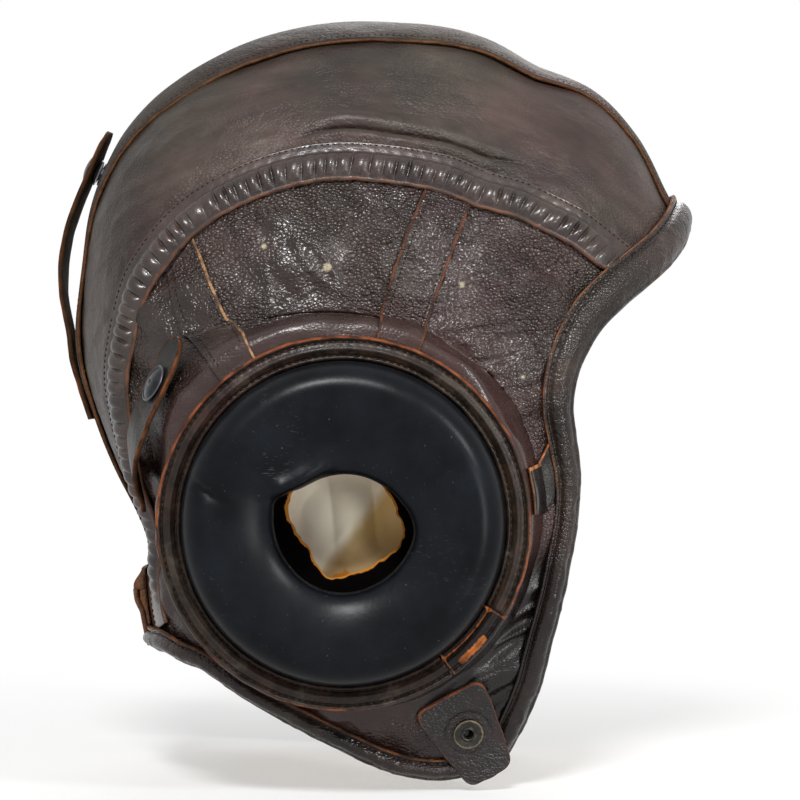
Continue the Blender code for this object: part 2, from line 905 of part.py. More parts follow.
def add_arch_bands(finish):
    length = curve_length(ARCH)
    tuck = ARCH_TUCK / length
    shares = arch_stations()
    shares[0], shares[-1] = tuck, 1 - tuck
    frames = band_frames([head_point(*along(ARCH, share)) for share in shares])
    loops = []
    for share, frame in zip(shares, frames):
        from_end = min(share, 1 - share) * length - FACE_BAND_WIDTH
        bulge = ARCH_BULGE * min(max(from_end, 0) / ARCH_BULGE_FADE, 1)
        loops.append(draped_loop(frame, arch_section(bulge)))
    return add_pair("arch_band", loft_mesh(loops), finish)


def binding_section(width, lift):
    """A strip that lies on the shell, rolls round its edge and returns under it."""
    top = lift + TRIM_LEATHER
    bottom = -BINDING_DEPTH - TRIM_LEATHER
    middle = (top + bottom) / 2
    shoulder = -BINDING_ROLL * BINDING_ROLL_SHARE
    return (
        (width, lift, False),
        (width, top, False),
        (width / 2, top + BINDING_CROWN, False),
        (0, top + BINDING_CROWN / 2, False),
        (shoulder, (top + middle) / 2, True),
        (-BINDING_ROLL, middle, True),
        (shoulder, (bottom + middle) / 2, True),
        (0, bottom, False),
        (BINDING_INNER_LEG, bottom, False),
        (BINDING_INNER_LEG, -BINDING_DEPTH, False),
        (-BINDING_CLEARANCE, -BINDING_DEPTH, True),
        (-BINDING_CLEARANCE, lift, True),
        (width / 2, lift, False),
    )


def edge_stations(stretches, end_gap):
    """Places along joined (curve, count) stretches and how far along each lies, the last cut short."""
    stations, passed = [], 0.0
    for curve, count in stretches:
        length = curve_length(curve)
        for share in np.linspace(0, 1, count, endpoint=False):
            stations.append((head_point(*along(curve, share)), passed + share * length))
        passed += length
    share = 1 - end_gap / length
    end = (head_point(*along(curve, share)), passed - end_gap)
    return [station for station in stations if station[1] < end[1] - end_gap] + [end]


def both_sides(stations):
    """Stations from the middle plane down the right side, led on from their mirror image."""
    left = [(place * (1, -1, 1), run) for place, run in stations[:0:-1]]
    return [*left, *stations]


def fade(value, full, none):
    """1 up to the full value, 0 from the other on, smooth between."""
    share = min(max((value - full) / (none - full), 0), 1)
    return 1 - share * share * (3 - 2 * share)


def binding_loops(stations, width_at, raised_run):
    """Sections of a binding that steps up over the ends of the crown strip and arch bands."""
    loops = []
    full, none = BAND_STEP_SHARES
    frames = band_frames([place for place, _ in stations])
    for frame, (_, run) in zip(frames, stations):
        over = fade(run - raised_run, full * ARCH_WIDTH, none * ARCH_WIDTH)
        lift = CROWN_LIFT + (BAND_OVER_LIFT - CROWN_LIFT) * over
        loops.append(draped_loop(frame, binding_section(width_at(run), lift)))
    return loops


def face_band_width(share):
    return FACE_BAND_WIDTH * table_value(FACE_BAND_SHARES, share)


def add_face_band(finish):
    brow_count = round(curve_length(BROW_EDGE) / EDGE_PITCH)
    stretches = ((BROW_EDGE, brow_count), (CHEEK_EDGE, CHEEK_STATIONS))
    stations = both_sides(edge_stations(stretches, 0))
    whole = stations[-1][1]
    loops = binding_loops(stations, lambda run: face_band_width(run / whole), curve_length(BROW_EDGE))
    return add_object("face_band", loft_mesh(loops), finish)


def add_neck_band(finish):
    end_gap = face_band_width(1) + CHIN_JOINT_GAP
    nape_count = round(curve_length(NAPE_EDGE) / EDGE_PITCH)
    stretches = ((NAPE_EDGE[::-1], nape_count), (JAW_EDGE[::-1], JAW_STATIONS))
    stations = both_sides(edge_stations(stretches, end_gap))[::-1]
    loops = binding_loops(stations, lambda _: NECK_BAND_WIDTH, curve_length(NAPE_EDGE))
    return add_object("neck_band", loft_mesh(loops), finish)


# Strips laid over the side panel


def side_strip_mesh(low_ears, high_ears, line, distance):
    """A strip from the ear ring out towards a line, stopping at a distance from it."""
    columns = []
    for side in (0, 0.5, 1):
        low = low_ears[0] + side * (low_ears[1] - low_ears[0])
        high = high_ears[0] + side * (high_ears[1] - high_ears[0])
        first = row_at_radius(low, RING_OUTER_RADIUS + GAP)
        columns.append((low, high, first, row_at_distance(high, line, distance)))
    start = max(column[2] for column in columns)
    stop = min(column[3] for column in columns)
    shared = [row for row in panel_rows() if start < row < stop]
    grid = []
    for low, high, first, last in columns:
        rows = (first, *shared, last)
        radii = [ear_radius(low, row) for row in rows]
        shares = [(radius - radii[0]) / (radii[-1] - radii[0]) for radius in radii]
        lift = CROWN_LIFT + OVERLAY_CLEARANCE
        grid.append([side_point(low + (high - low) * share, row, lift) for share, row in zip(shares, rows)])
    return sheet_mesh(grid, TRIM_LEATHER)


def add_tapes(finish):
    distance = ARCH_WIDTH / 2 + 2 * GAP
    line = places_of(ARCH)
    for name, ring, arch in (
        ("front_tape", FRONT_TAPE_RING_DEGREES, FRONT_TAPE_ARCH_DEGREES),
        ("rear_tape", REAR_TAPE_RING_DEGREES, REAR_TAPE_ARCH_DEGREES),
    ):
        high = [ear_angle_at_arch(degrees) for degrees in arch]
        add_pair(name, side_strip_mesh(ring, high, line, distance), finish)


def add_cheek_patches(finish):
    distance = face_band_width(CHEEK_BAND_SHARE) + 3 * GAP
    ears = CHEEK_PATCH_DEGREES
    add_pair("cheek_patch", side_strip_mesh(ears, ears, FREE_EDGE, distance), finish)


# Ear rings and cups


def ring_section():
    low = DRUM_HEIGHT + LEATHER + GAP
    top = low + TRIM_LEATHER
    middle = (RING_INNER_RADIUS + RING_OUTER_RADIUS) / 2
    return (
        (RING_INNER_RADIUS, low),
        (RING_OUTER_RADIUS, low),
        (RING_OUTER_RADIUS, top),
        (middle, top + RING_CROWN),
        (RING_INNER_RADIUS, top),
    )


def ring_piece(first, last, stations):
    loops = []
    for ear in np.linspace(first, last, stations):
        direction = ear_direction(ear)
        loops.append([radius * direction - np.array([0, height, 0]) for radius, height in ring_section()])
    return loft_mesh(loops)


def add_ear_rings(finish):
    """A ring strip that is closed by a short patch low at the front."""
    low, high = RING_PATCH_DEGREES
    full = ring_piece(high + RING_JOINT_DEGREES, low + 360 - RING_JOINT_DEGREES, CUP_SIDES)
    add_pair("ear_ring", full, finish)
    return add_pair("ring_patch", ring_piece(low, high, 4), finish)


def cup_profile():
    """Section of the cup as (radius, height) pairs: the outer face, the lip, then the inner face."""
    base = DRUM_HEIGHT - GAP
    floor = base - CUP_FLANGE
    crest = CUP_HOLE_RADIUS + CUP_CREST_SHARE * (CUP_RADIUS - CUP_HOLE_RADIUS)
    top = base + CUP_HEIGHT + LEATHER
    outer = [(CUP_FLANGE_RADIUS, floor), (CUP_FLANGE_RADIUS, base), (CUP_RADIUS - GAP, base)]
    quarter = np.linspace(0, math.pi / 2, CUP_ARC_ROWS + 1)
    rise = CUP_RISE_SHARE * (top - base)
    for turn in quarter:
        radius = crest + (CUP_RADIUS - crest) * math.cos(turn)
        outer.append((radius, top - rise + rise * math.sin(turn)))
    lip_height = top - CUP_LIP_DROP
    for turn in quarter[1:]:
        radius = crest - (crest - CUP_HOLE_RADIUS) * math.sin(turn)
        outer.append((radius, lip_height + CUP_LIP_DROP * math.cos(turn)))
    inner = []
    for radius, height in outer[:3:-2]:
        towards = np.array([crest, base]) - (radius, height)
        shift = CUP_WALL * towards / np.linalg.norm(towards)
        inner.append((radius + shift[0], height + shift[1]))
    inner.append((CUP_RADIUS - CUP_WALL, floor))
    return [*outer, *inner]


def add_cups(finish):
    mesh = turned_mesh(cup_profile(), CUP_SIDES)
    crest = CUP_HOLE_RADIUS + CUP_CREST_SHARE * (CUP_RADIUS - CUP_HOLE_RADIUS)
    for vert in mesh.vertices:
        radius = math.hypot(vert.co.x, vert.co.y)
        turn = math.degrees(math.atan2(vert.co.y, vert.co.x)) - 90
        nearness = min(max((crest - radius) / (crest - CUP_HOLE_RADIUS), 0), 1)
        sag = CUP_LIP_SAG * nearness**2 * math.exp(-((turn / CUP_SAG_DEGREES) ** 2))
        vert.co.y -= sag
    mesh.transform(ear_frame())
    mesh.update()
    return add_pair("rubber_cup", mesh, finish)


# Snap fasteners, with height 0 at the outer face of the leather they go through


def cap_profile():
    under = -TAB_LEATHER - GAP
    dome = [(across * CAP_RADIUS, up * CAP_HEIGHT) for across, up in CAP_DOME_SHARES]
    return (
        *dome,
        (CAP_RADIUS, CAP_RIM),
        (CAP_RADIUS, GAP / 2),
        (SNAP_BARREL_RADIUS, GAP / 2),
        (SNAP_BARREL_RADIUS, under),
        (SOCKET_RADIUS, under),
        (SOCKET_RADIUS, under - SOCKET_HEIGHT),
        (0, under - SOCKET_HEIGHT),
    )


def stud_profile(height):
    return (
        (0, height),
        (STUD_NECK_RADIUS, height),
        (STUD_NECK_RADIUS, STUD_BASE),
        (STUD_RADIUS, STUD_BASE),
        (STUD_RADIUS, 0),
        (0, 0),
    )


def add_stud(name, seat, shell, metal, both=False):
    """A stud on the shell, coaxial with the snap's cap, that stops short of its socket."""
    place, normal, forward = seat
    across = np.cross(forward, normal)
    drops = []
    for turn in np.linspace(0, math.tau, SNAP_SIDES + 1):
        edge = STUD_RADIUS * (math.cos(turn) * forward + math.sin(turn) * across)
        for start in (place, place + edge):
            _, hit, _, _ = shell.ray_cast(Vector(start), Vector(-normal))
            drops.append((Vector(start) - hit).length)
    drop = min(drops) - GAP
    height = drop - GAP - SOCKET_HEIGHT - GAP
    mesh = turned_mesh(stud_profile(height), SNAP_SIDES, frame_matrix(place - drop * normal, normal, forward))
    if both:
        add_pair(name, mesh, metal)
    else:
        add_object(name, mesh, metal)


def bore(solid, radius, depth, frame):
    """Cuts a round hole through a tab, along the frame's Z axis."""
    profile = ((0, depth), (radius, depth), (radius, -depth), (0, -depth))
    cutter = bpy.data.objects.new("cutter", turned_mesh(profile, SNAP_SIDES, frame))
    work = bpy.data.objects.new("work", solid)
    for thing in (cutter, work):
        bpy.context.scene.collection.objects.link(thing)
    cut = work.modifiers.new("bore", "BOOLEAN")
    cut.operation = "DIFFERENCE"
    cut.object = cutter
    graph = bpy.context.evaluated_depsgraph_get()
    result = bpy.data.meshes.new_from_object(work.evaluated_get(graph))
    for thing in (cutter, work):
        bpy.data.objects.remove(thing)
    return result


# Flaps


def strap_mesh(frames, width, taper):
    """A strap that lies above (place, normal, forward) frames, with its tip drawn in."""
    loops = []
    for (place, normal, forward), share in zip(frames, taper):
        across = np.cross(forward, normal)
        across = across / np.linalg.norm(across) * width / 2 * share
        up = TAB_LEATHER * normal
        under = [place - across, place, place + across]
        loops.append([*under, *(point + up for point in under[::-1])])
    return loft_mesh(loops)


def path_frames(places, normals):
    frames = []
    for k, place in enumerate(places):
        forward = places[min(k + 1, len(places) - 1)] - places[max(k - 1, 0)]
        forward = forward / np.linalg.norm(forward)
        normal = normals[k] - (normals[k] @ forward) * forward
        frames.append((place, normal / np.linalg.norm(normal), forward))
    return frames


def strap_shares(length, snap_share):
    """Shares along a strap, with none under its snap so that the snap's seat is flat."""
    reach_of_seat = (CAP_RADIUS + GAP) / length
    low, high = snap_share - reach_of_seat, snap_share + reach_of_seat
    tip = [share for share in (1 - SEAM / length, 1) if share > high]
    return [*np.linspace(0, low, STRAP_ROWS), high, *tip]


def flatten_seat(frames):
    """Gives the two frames round the snap one plane, and returns the seat between them."""
    at = STRAP_ROWS - 1
    first, second = frames[at][0], frames[at + 1][0]
    forward = (second - first) / np.linalg.norm(second - first)
    normal = frames[at][1] + frames[at + 1][1]
    normal = normal - (normal @ forward) * forward
    normal = normal / np.linalg.norm(normal)
    frames[at] = (first, normal, forward)
    frames[at + 1] = (second, normal, forward)
    return (first + second) / 2, normal, forward


def tip_taper(shares, length, width):
    """Width shares that round the last half width of a strap's length."""
    taper = []
    for share in shares:
        left = min((1 - share) * length / (width / 2), 1)
        taper.append(max(math.sqrt(1 - (1 - left) ** 2), STRAP_TIP_SHARE))
    return taper


def path_length(places):
    return sum(np.linalg.norm(after - before) for before, after in zip(places, places[1:]))


def add_snapped_strap(name, path, width, snap_share):
    """Mesh, hinge, seat and cap frame of a strap over a path of places and normals."""
    length = path_length(path(np.linspace(0, 1, STRAP_ROWS))[0])
    shares = strap_shares(length, snap_share)
    frames = path_frames(*path(shares))
    seat = flatten_seat(frames)
    mesh = strap_mesh(frames, width, tip_taper(shares, length, width))
    place, normal, forward = seat
    cap = frame_matrix(place + TAB_LEATHER * normal, normal, forward)
    mesh = bore(mesh, SNAP_BARREL_RADIUS + GAP, 2 * TAB_LEATHER, cap)
    hinge = frames[0][0] + TAB_LEATHER * frames[0][1]
    report_hinge(name, hinge, frames[0])
    return mesh, hinge, seat, cap


def goggle_tab_path(shares):
    places, normals = [], []
    ears, radii = zip(*GOGGLE_TAB_LINE_SHARES)
    knots = np.linspace(0, 1, len(ears))
    for share in shares:
        facing = []
        for at in (share, max(share, GOGGLE_TAB_ROOT_SHARE)):
            ear = float(np.interp(at, knots, ears))
            radius = RING_OUTER_RADIUS * float(np.interp(at, knots, radii))
            place, normal, _ = side_frame(ear, row_at_radius(ear, radius))
            facing.append((place, normal))
        (place, normal), (_, kept_normal) = facing
        lift = LEATHER + GAP + GOGGLE_TAB_LIFT * table_value(GOGGLE_TAB_LIFT_SHARES, share)
        places.append(place + lift * normal)
        normals.append(kept_normal - GOGGLE_TAB_LEAN_SHARE * ear_direction(0))
    return places, normals


def add_goggle_tabs(panel, leather, metal):
    """Flaps behind the ears, sewn at their lower ends and snapped near their tips."""
    mesh, hinge, seat, cap = add_snapped_strap(
        "goggle_tab", goggle_tab_path, GOGGLE_TAB_WIDTH, GOGGLE_SNAP_SHARE
    )
    tabs = add_pair("goggle_tab", mesh, leather, hinge)
    add_pair("goggle_tab_cap", turned_mesh(cap_profile(), SNAP_SIDES, cap), metal, hinge, tabs)
    add_stud("goggle_stud", seat, panel, metal, both=True)


def back_strap_path(shares):
    places, normals = [], []
    first, last = BACK_STRAP_DEGREES
    for share in shares:
        degrees = first + share * (last - first)
        bow = BACK_STRAP_GAP * table_value(BACK_STRAP_GAP_SHARES, share)
        place = head_point(degrees, 0)
        normal = head_normal(place)
        places.append(place + (OVER_LIFT + bow) * normal)
        normals.append(normal)
    return places, normals


def add_back_strap(strip, leather, metal):
    """A strap up the back of the head that bows off it, sewn below and snapped above."""
    mesh, hinge, seat, cap = add_snapped_strap(
        "back_strap", back_strap_path, BACK_STRAP_WIDTH, BACK_STRAP_SNAP_SHARE
    )
    strap = add_object("back_strap", mesh, leather, hinge)
    add_object("back_strap_cap", turned_mesh(cap_profile(), SNAP_SIDES, cap), metal, hinge, strap)
    add_stud("back_strap_stud", seat, strip, metal)


def rise_to_clear(shell, points, face):
    """How far points have to rise along a face's normal to stand a gap off a shell."""
    rise = 0.0
    for point in points:
        struck, hit, _, _ = shell.ray_cast(point + CHIN_TAB_LENGTH * face, -face)
        if struck:
            rise = max(rise, GAP - (point - hit).dot(face))
    return rise


def chin_tab_underside(outline, frame):
    """Corners of the tab's lower face and points round the bottom of its snap."""
    depth = GAP + MASK_SNAP_LIP
    centre = MASK_SNAP_SHARE * CHIN_TAB_LENGTH
    points = [vert.co.copy() for vert in outline.vertices if vert.co.z < GAP]
    for turn in np.linspace(0, math.tau, SNAP_SIDES + 1):
        across, ahead = SOCKET_RADIUS * math.cos(turn), SOCKET_RADIUS * math.sin(turn)
        points.append(Vector((across, centre + ahead, -depth)))
    return [frame @ point for point in points]


def add_chin_tabs(panel, leather, brass):
    """Flat flaps at the jaw, hung from their upper edges, each with an eyelet snap."""
    radius = RING_OUTER_RADIUS + CHIN_TAB_RING_GAP
    place, normal, down = side_frame(CHIN_TAB_EAR_DEGREES, row_at_radius(CHIN_TAB_EAR_DEGREES, radius))
    outward = ear_direction(CHIN_TAB_EAR_DEGREES)
    tilt = math.radians(CHIN_TAB_TILT_DEGREES)
    hang = math.cos(tilt) * outward + math.sin(tilt) * np.array([0, 1, 0])
    face = math.sin(tilt) * outward - math.cos(tilt) * np.array([0, 1, 0])
    hang = np.array(Matrix.Rotation(math.radians(CHIN_TAB_TURN_DEGREES), 3, Vector(face)) @ Vector(hang))
    origin = place + (LEATHER + CHIN_TAB_STAND_OFF) * face
    frame = frame_matrix(origin, face, hang)
    mesh = chin_tab_mesh()
    rise = rise_to_clear(panel, chin_tab_underside(mesh, frame), Vector(face))
    frame = Matrix.Translation(rise * Vector(face)) @ frame
    mesh.transform(frame)
    centre = MASK_SNAP_SHARE * CHIN_TAB_LENGTH
    seat = frame @ Matrix.Translation((0, centre, TAB_LEATHER))
    mesh = bore(mesh, MASK_SNAP_BARREL + GAP, 2 * TAB_LEATHER, seat)
    hinge = np.array(frame @ Vector((0, 0, TAB_LEATHER)))
    tabs = add_pair("chin_tab", mesh, leather, hinge)
    snap = turned_mesh(mask_snap_profile(), SNAP_SIDES, seat)
    add_pair("mask_snap", snap, brass, hinge, tabs)
    report_hinge("chin_tab", hinge, (origin, face, hang))


def chin_tab_mesh():
    half = CHIN_TAB_WIDTH / 2
    outline = (
        (-half, 0),
        (half, 0),
        (half - CHIN_TAB_DRAW_IN, CHIN_TAB_LENGTH),
        (-half, CHIN_TAB_LENGTH),
    )
    work = bmesh.new()
    corners = [work.verts.new((x, y, 0)) for x, y in outline]
    face = work.faces.new(corners)
    bmesh.ops.bevel(
        work, geom=corners, offset=CHIN_TAB_CORNER, segments=3, affect="VERTICES", profile=0.5
    )
    face = work.faces[:][0]
    raised = bmesh.ops.extrude_face_region(work, geom=[face])
    top = [item for item in raised["geom"] if isinstance(item, bmesh.types.BMVert)]
    bmesh.ops.translate(work, verts=top, vec=(0, 0, TAB_LEATHER))
    bmesh.ops.recalc_face_normals(work, faces=work.faces)
    mesh = bpy.data.meshes.new("tab")
    work.to_mesh(mesh)
    work.free()
    return mesh


def mask_snap_profile():
    under = -TAB_LEATHER - GAP
    dome = [(across * MASK_SNAP_RADIUS, up * MASK_SNAP_LIP) for across, up in MASK_SNAP_DOME_SHARES]
    return (
        (MASK_SNAP_BORE, MASK_SNAP_LIP),
        *dome,
        (MASK_SNAP_RADIUS, GAP / 2),
        (MASK_SNAP_BARREL, GAP / 2),
        (MASK_SNAP_BARREL, under),
        (SOCKET_RADIUS, under),
        (SOCKET_RADIUS, under - MASK_SNAP_LIP),
        (MASK_SNAP_BORE, under - MASK_SNAP_LIP),
    )


def nape_tab_frames(shares):
    places, normals = [], []
    first, last = NAPE_TAB_DEGREES
    for share in shares:
        place = head_point(first + share * (last - first), 0)
        normal = head_normal(place)
        places.append(place + (BAND_OVER_LIFT + TRIM_LEATHER + BINDING_CROWN + GAP) * normal)
        normals.append(normal)
    return path_frames(places, normals)


def add_nape_tab(leather):
    """A cord tab at the nape, sewn along its upper edge."""
    frames = nape_tab_frames(np.linspace(0, 1, 4))
    mesh = strap_mesh(frames, NAPE_TAB_WIDTH, (1, 1, 1, NAPE_TAB_TIP_SHARE))
    hinge = frames[0][0] + TAB_LEATHER * frames[0][1]
    add_object("nape_tab", mesh, leather, hinge)
    report_hinge("nape_tab", hinge, frames[0])


def report_hinge(name, place, frame):
    """Prints a flap's hinge line, about which a positive turn opens the flap."""
    _, normal, forward = frame
    axis = np.cross(forward, normal)
    axis /= np.linalg.norm(axis)
    print(name, "hinge at", np.round(place, 6), "axis", np.round(axis, 6))


clear_scene()
BROW_EDGE = even_curve(BROW_EDGE_DEGREES)
CHEEK_EDGE = even_curve(CHEEK_EDGE_DEGREES)
JAW_EDGE = even_curve(JAW_EDGE_DEGREES)
NAPE_EDGE = even_curve(NAPE_EDGE_DEGREES)
ARCH = even_curve(ARCH_DEGREES)
FREE_EDGE = places_of(BROW_EDGE, CHEEK_EDGE, JAW_EDGE, NAPE_EDGE)
STRIP_ENDS = (BROW_EDGE_DEGREES[1][0], NAPE_EDGE_DEGREES[-1][0] + 360)
STRIP_INNER = even_curve(
    [
        (degrees, out_at_width(strip_half_width(degrees) - LAP))
        for degrees in np.linspace(*STRIP_ENDS, STRIP_KNOTS)
    ]
)

crown_leather = material("crown_leather", (0.060, 0.034, 0.026), 0.5)
side_leather = material("side_leather", (0.036, 0.018, 0.015), 0.38)
trim_leather = material("trim_leather", (0.045, 0.024, 0.017), 0.45)
chamois = material("chamois", (0.56, 0.43, 0.26), 0.9)
rubber = material("rubber", (0.012, 0.015, 0.022), 0.35)
gunmetal = material("gunmetal", (0.05, 0.05, 0.055), 0.4, 0.9)
brass = material("brass", (0.16, 0.12, 0.07), 0.45, 0.9)

side_panels = add_side_panels(side_leather)
add_crown_panels(crown_leather)
crown_strip = add_crown_strip(crown_leather)
add_arch_bands(trim_leather)
add_face_band(trim_leather)
add_neck_band(trim_leather)
add_tapes(trim_leather)
add_cheek_patches(trim_leather)
add_lining(chamois)
add_ear_rings(trim_leather)
add_cups(rubber)
bpy.context.view_layer.update()
add_goggle_tabs(side_panels[RIGHT], trim_leather, gunmetal)
add_back_strap(crown_strip, trim_leather, gunmetal)
add_chin_tabs(side_panels[RIGHT], trim_leather, brass)
add_nape_tab(trim_leather)
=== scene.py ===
import itertools
import math

import bmesh
import bpy
import numpy as np
from mathutils import Matrix, Vector


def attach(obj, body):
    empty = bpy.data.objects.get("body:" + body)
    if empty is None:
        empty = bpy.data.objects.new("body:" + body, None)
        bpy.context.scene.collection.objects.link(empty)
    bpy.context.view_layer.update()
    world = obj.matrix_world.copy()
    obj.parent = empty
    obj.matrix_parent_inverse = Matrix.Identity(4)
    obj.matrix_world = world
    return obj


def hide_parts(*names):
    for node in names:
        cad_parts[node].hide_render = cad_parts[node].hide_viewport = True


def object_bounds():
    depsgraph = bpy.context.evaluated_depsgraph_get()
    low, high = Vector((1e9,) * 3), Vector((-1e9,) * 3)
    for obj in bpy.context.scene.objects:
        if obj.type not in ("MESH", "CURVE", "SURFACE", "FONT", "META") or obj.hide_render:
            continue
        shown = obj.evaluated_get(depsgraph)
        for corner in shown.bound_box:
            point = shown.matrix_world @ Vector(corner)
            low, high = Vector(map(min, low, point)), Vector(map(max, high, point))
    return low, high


# Leather flying helmet. Metres, +Z up, +X towards the face, the wearer's right at -Y, origin on the
# ear axis. "ear" is an angle round that axis and "out" an angle from the middle plane to the ear.
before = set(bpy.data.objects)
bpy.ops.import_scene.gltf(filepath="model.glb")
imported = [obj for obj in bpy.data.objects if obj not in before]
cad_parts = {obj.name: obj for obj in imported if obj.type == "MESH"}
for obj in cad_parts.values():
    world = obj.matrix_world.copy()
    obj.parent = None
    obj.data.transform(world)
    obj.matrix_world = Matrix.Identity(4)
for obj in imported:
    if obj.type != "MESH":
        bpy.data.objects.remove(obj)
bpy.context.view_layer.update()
print("frame loaded")

head = dict(
    crownReach=0.168,
    halfBreadth=0.080,
    fullness=2.4,
    samples=160,
    reachShares=(
        (40, 0.890), (46, 0.918), (53, 0.966), (60, 0.994), (67, 0.986), (74, 1.004), (84, 1.0),
        (95, 0.990), (106, 0.963), (117, 0.914), (127, 0.835), (137, 0.730), (148, 0.637),
        (158, 0.545), (168, 0.473), (178, 0.420), (188, 0.398), (200, 0.420), (214, 0.455),
        (232, 0.510), (245, 0.560), (264, 0.643), (281, 0.726), (290, 0.744), (309, 0.705),
        (335, 0.688), (360, 0.685), (373, 0.703), (385, 0.765),
    ),
    brow=((40.8, 0), (40.4, 10), (39.6, 19), (38.9, 27.5), (38.7, 36.5)),
    cheek=(
        (38.7, 36.5), (38.6, 42), (38, 47), (36.4, 51.2), (33.2, 54.5), (27.5, 55.7), (20, 54.6),
        (11, 53.3), (0, 53.9), (-14, 54.5), (-30, 52.8), (-42, 48.6), (-51, 45), (-57.5, 42.5),
    ),
    jaw=(
        (-57.5, 42.5), (-66, 46.6), (-75, 50.2), (-87, 52.8), (-98, 53), (-108, 51.6),
        (-118, 48.4), (-127, 44), (-135, 38), (-141, 30), (-143.4, 24),
    ),
    nape=((-143.4, 24), (-144.8, 13), (-145.3, 0)),
    arch=(
        (38.7, 36.5), (44.7, 39.6), (51, 43.8), (58, 47.5), (66, 48.7), (77, 49.8), (91, 49.3),
        (109, 48.3), (124, 45.6), (134, 41.6), (144, 39), (153.4, 36.2), (163, 32), (173, 26.5),
        (190, 22.5), (205, 22), (216.6, 24),
    ),
    cornerEars=(43, -57, -160),
)
leather = dict(thick=0.0016, trim=0.0014, gap=0.0003, seat=0.0004, overlay=0.00015, rimBulge=0.2)
crownLift = leather["thick"] + leather["seat"]
overLift = crownLift + leather["trim"] + leather["seat"]
bandOverLift = overLift + leather["gap"]


# Curves and the head form


def unit(vectors):
    return vectors / np.maximum(np.linalg.norm(vectors, axis=-1, keepdims=True), 1e-12)


def atTable(table, places):
    # Straight lines through (place, value) rows.
    return np.interp(places, *np.array(table, float).T)


def smoothTable(table, places, period=None):
    # A cubic through (place, value) rows, whose slope at a row joins the rows on its two sides.
    rows = np.array(table, float)
    places = np.asarray(places, float)
    if period:
        places = (places - rows[0, 0]) % period + rows[0, 0]
        rows = np.vstack([rows[-1] - (period, 0), rows, rows[0] + (period, 0), rows[1] + (period, 0)])
    count = len(rows)
    places = np.clip(places, rows[0, 0], rows[-1, 0])
    before = rows[np.maximum(np.arange(count) - 1, 0)]
    after = rows[np.minimum(np.arange(count) + 1, count - 1)]
    slopes = (after[:, 1] - before[:, 1]) / (after[:, 0] - before[:, 0])
    at = np.clip(np.searchsorted(rows[:, 0], places) - 1, 0, count - 2)
    span = rows[at + 1, 0] - rows[at, 0]
    share = (places - rows[at, 0]) / span
    square, cube = share**2, share**3
    low = (2 * cube - 3 * square + 1) * rows[at, 1] + (cube - 2 * square + share) * slopes[at] * span
    high = (3 * square - 2 * cube) * rows[at + 1, 1] + (cube - square) * slopes[at + 1] * span
    return low + high


def reachAt(degrees):
    return head["crownReach"] * smoothTable(head["reachShares"], degrees, 360)


def earDirection(ear):
    turn = np.radians(ear)
    return np.stack([np.cos(turn), np.zeros_like(turn), np.sin(turn)], -1)


def formSlope(points):
    # Value is (radius / reach)^fullness + |y / breadth|^fullness, 1 on the form; also its gradient.
    full, half = head["fullness"], head["halfBreadth"]
    x, y, z = np.moveaxis(points, -1, 0)
    radius = np.hypot(x, z)
    ear = np.degrees(np.arctan2(z, x))
    reach = reachAt(ear)
    change = (reachAt(ear + 0.25) - reachAt(ear - 0.25)) / math.radians(0.5)
    value = (radius / reach) ** full + np.abs(y / half) ** full
    steep = full * radius ** (full - 1) / reach**full
    outward = np.stack([x, np.zeros_like(x), z], -1) / radius[..., None]
    roundEar = np.stack([-z, np.zeros_like(x), x], -1) / radius[..., None]
    slope = steep[..., None] * outward - (steep * change / reach)[..., None] * roundEar
    slope[..., 1] = np.sign(y) * full * np.abs(y) ** (full - 1) / half**full
    return value, slope


def formNormal(points):
    return unit(formSlope(points)[1])


def formPoint(degrees, out):
    # Middle-plane radius is reach times cos(out)^(2/fullness), and y is breadth times sin(out)^(2/fullness).
    degrees, out = np.broadcast_arrays(np.asarray(degrees, float), np.asarray(out, float))
    power = 2 / head["fullness"]
    radius = reachAt(degrees) * np.maximum(np.cos(np.radians(out)), 0) ** power
    side = -head["halfBreadth"] * np.maximum(np.sin(np.radians(out)), 0) ** power
    points = radius[..., None] * earDirection(degrees)
    points[..., 1] = side
    return points


def draped(points):
    # Newton steps along the gradient move the points onto the form; its normals there come with them.
    for _ in range(4):
        value, slope = formSlope(points)
        points = points - ((value - 1) / (slope * slope).sum(-1))[..., None] * slope
    return points, formNormal(points)


def outAtWidth(halfWidth):
    share = np.minimum(np.asarray(halfWidth) / head["halfBreadth"], 1)
    return np.degrees(np.arcsin(share ** (head["fullness"] / 2)))


def outAtRadius(degrees, radius):
    share = np.minimum(radius / reachAt(degrees), 1)
    return np.degrees(np.arccos(share ** (head["fullness"] / 2)))


def runAlong(places):
    # The distance passed at each place of a line.
    return np.append(0, np.linalg.norm(np.diff(places, axis=0), axis=1).cumsum())


def evenCurve(pairs):
    # The cubic of smoothTable through the angle pairs, sampled at even distances on the form.
    knots = np.array(pairs, float)
    order = np.arange(len(knots))
    fine = head["samples"] // order[-1]
    steps = np.arange(order[-1] * fine + 1) / fine
    dense = np.stack([smoothTable(np.stack([order, knots[:, k]], -1), steps) for k in (0, 1)], -1)
    run = runAlong(formPoint(*dense.T))
    return rowsAt(dense, run, np.linspace(0, run[-1], head["samples"]))


def rowsAt(table, places, wanted):
    # The table's rows, read at the wanted places between those that its rows belong to.
    return np.stack([np.interp(wanted, places, table[:, k]) for k in range(table.shape[1])], -1)


def along(curve, share):
    return rowsAt(curve, np.linspace(0, 1, len(curve)), share)


def curveLength(curve):
    return runAlong(formPoint(*curve.T))[-1]


brow, cheek, jaw, nape, arch = (evenCurve(head[name]) for name in ("brow", "cheek", "jaw", "nape", "arch"))


# Side panel map: ear angle, then rows -1 to 0 on the drum, to 1 down its shoulder, to 2 at the edge

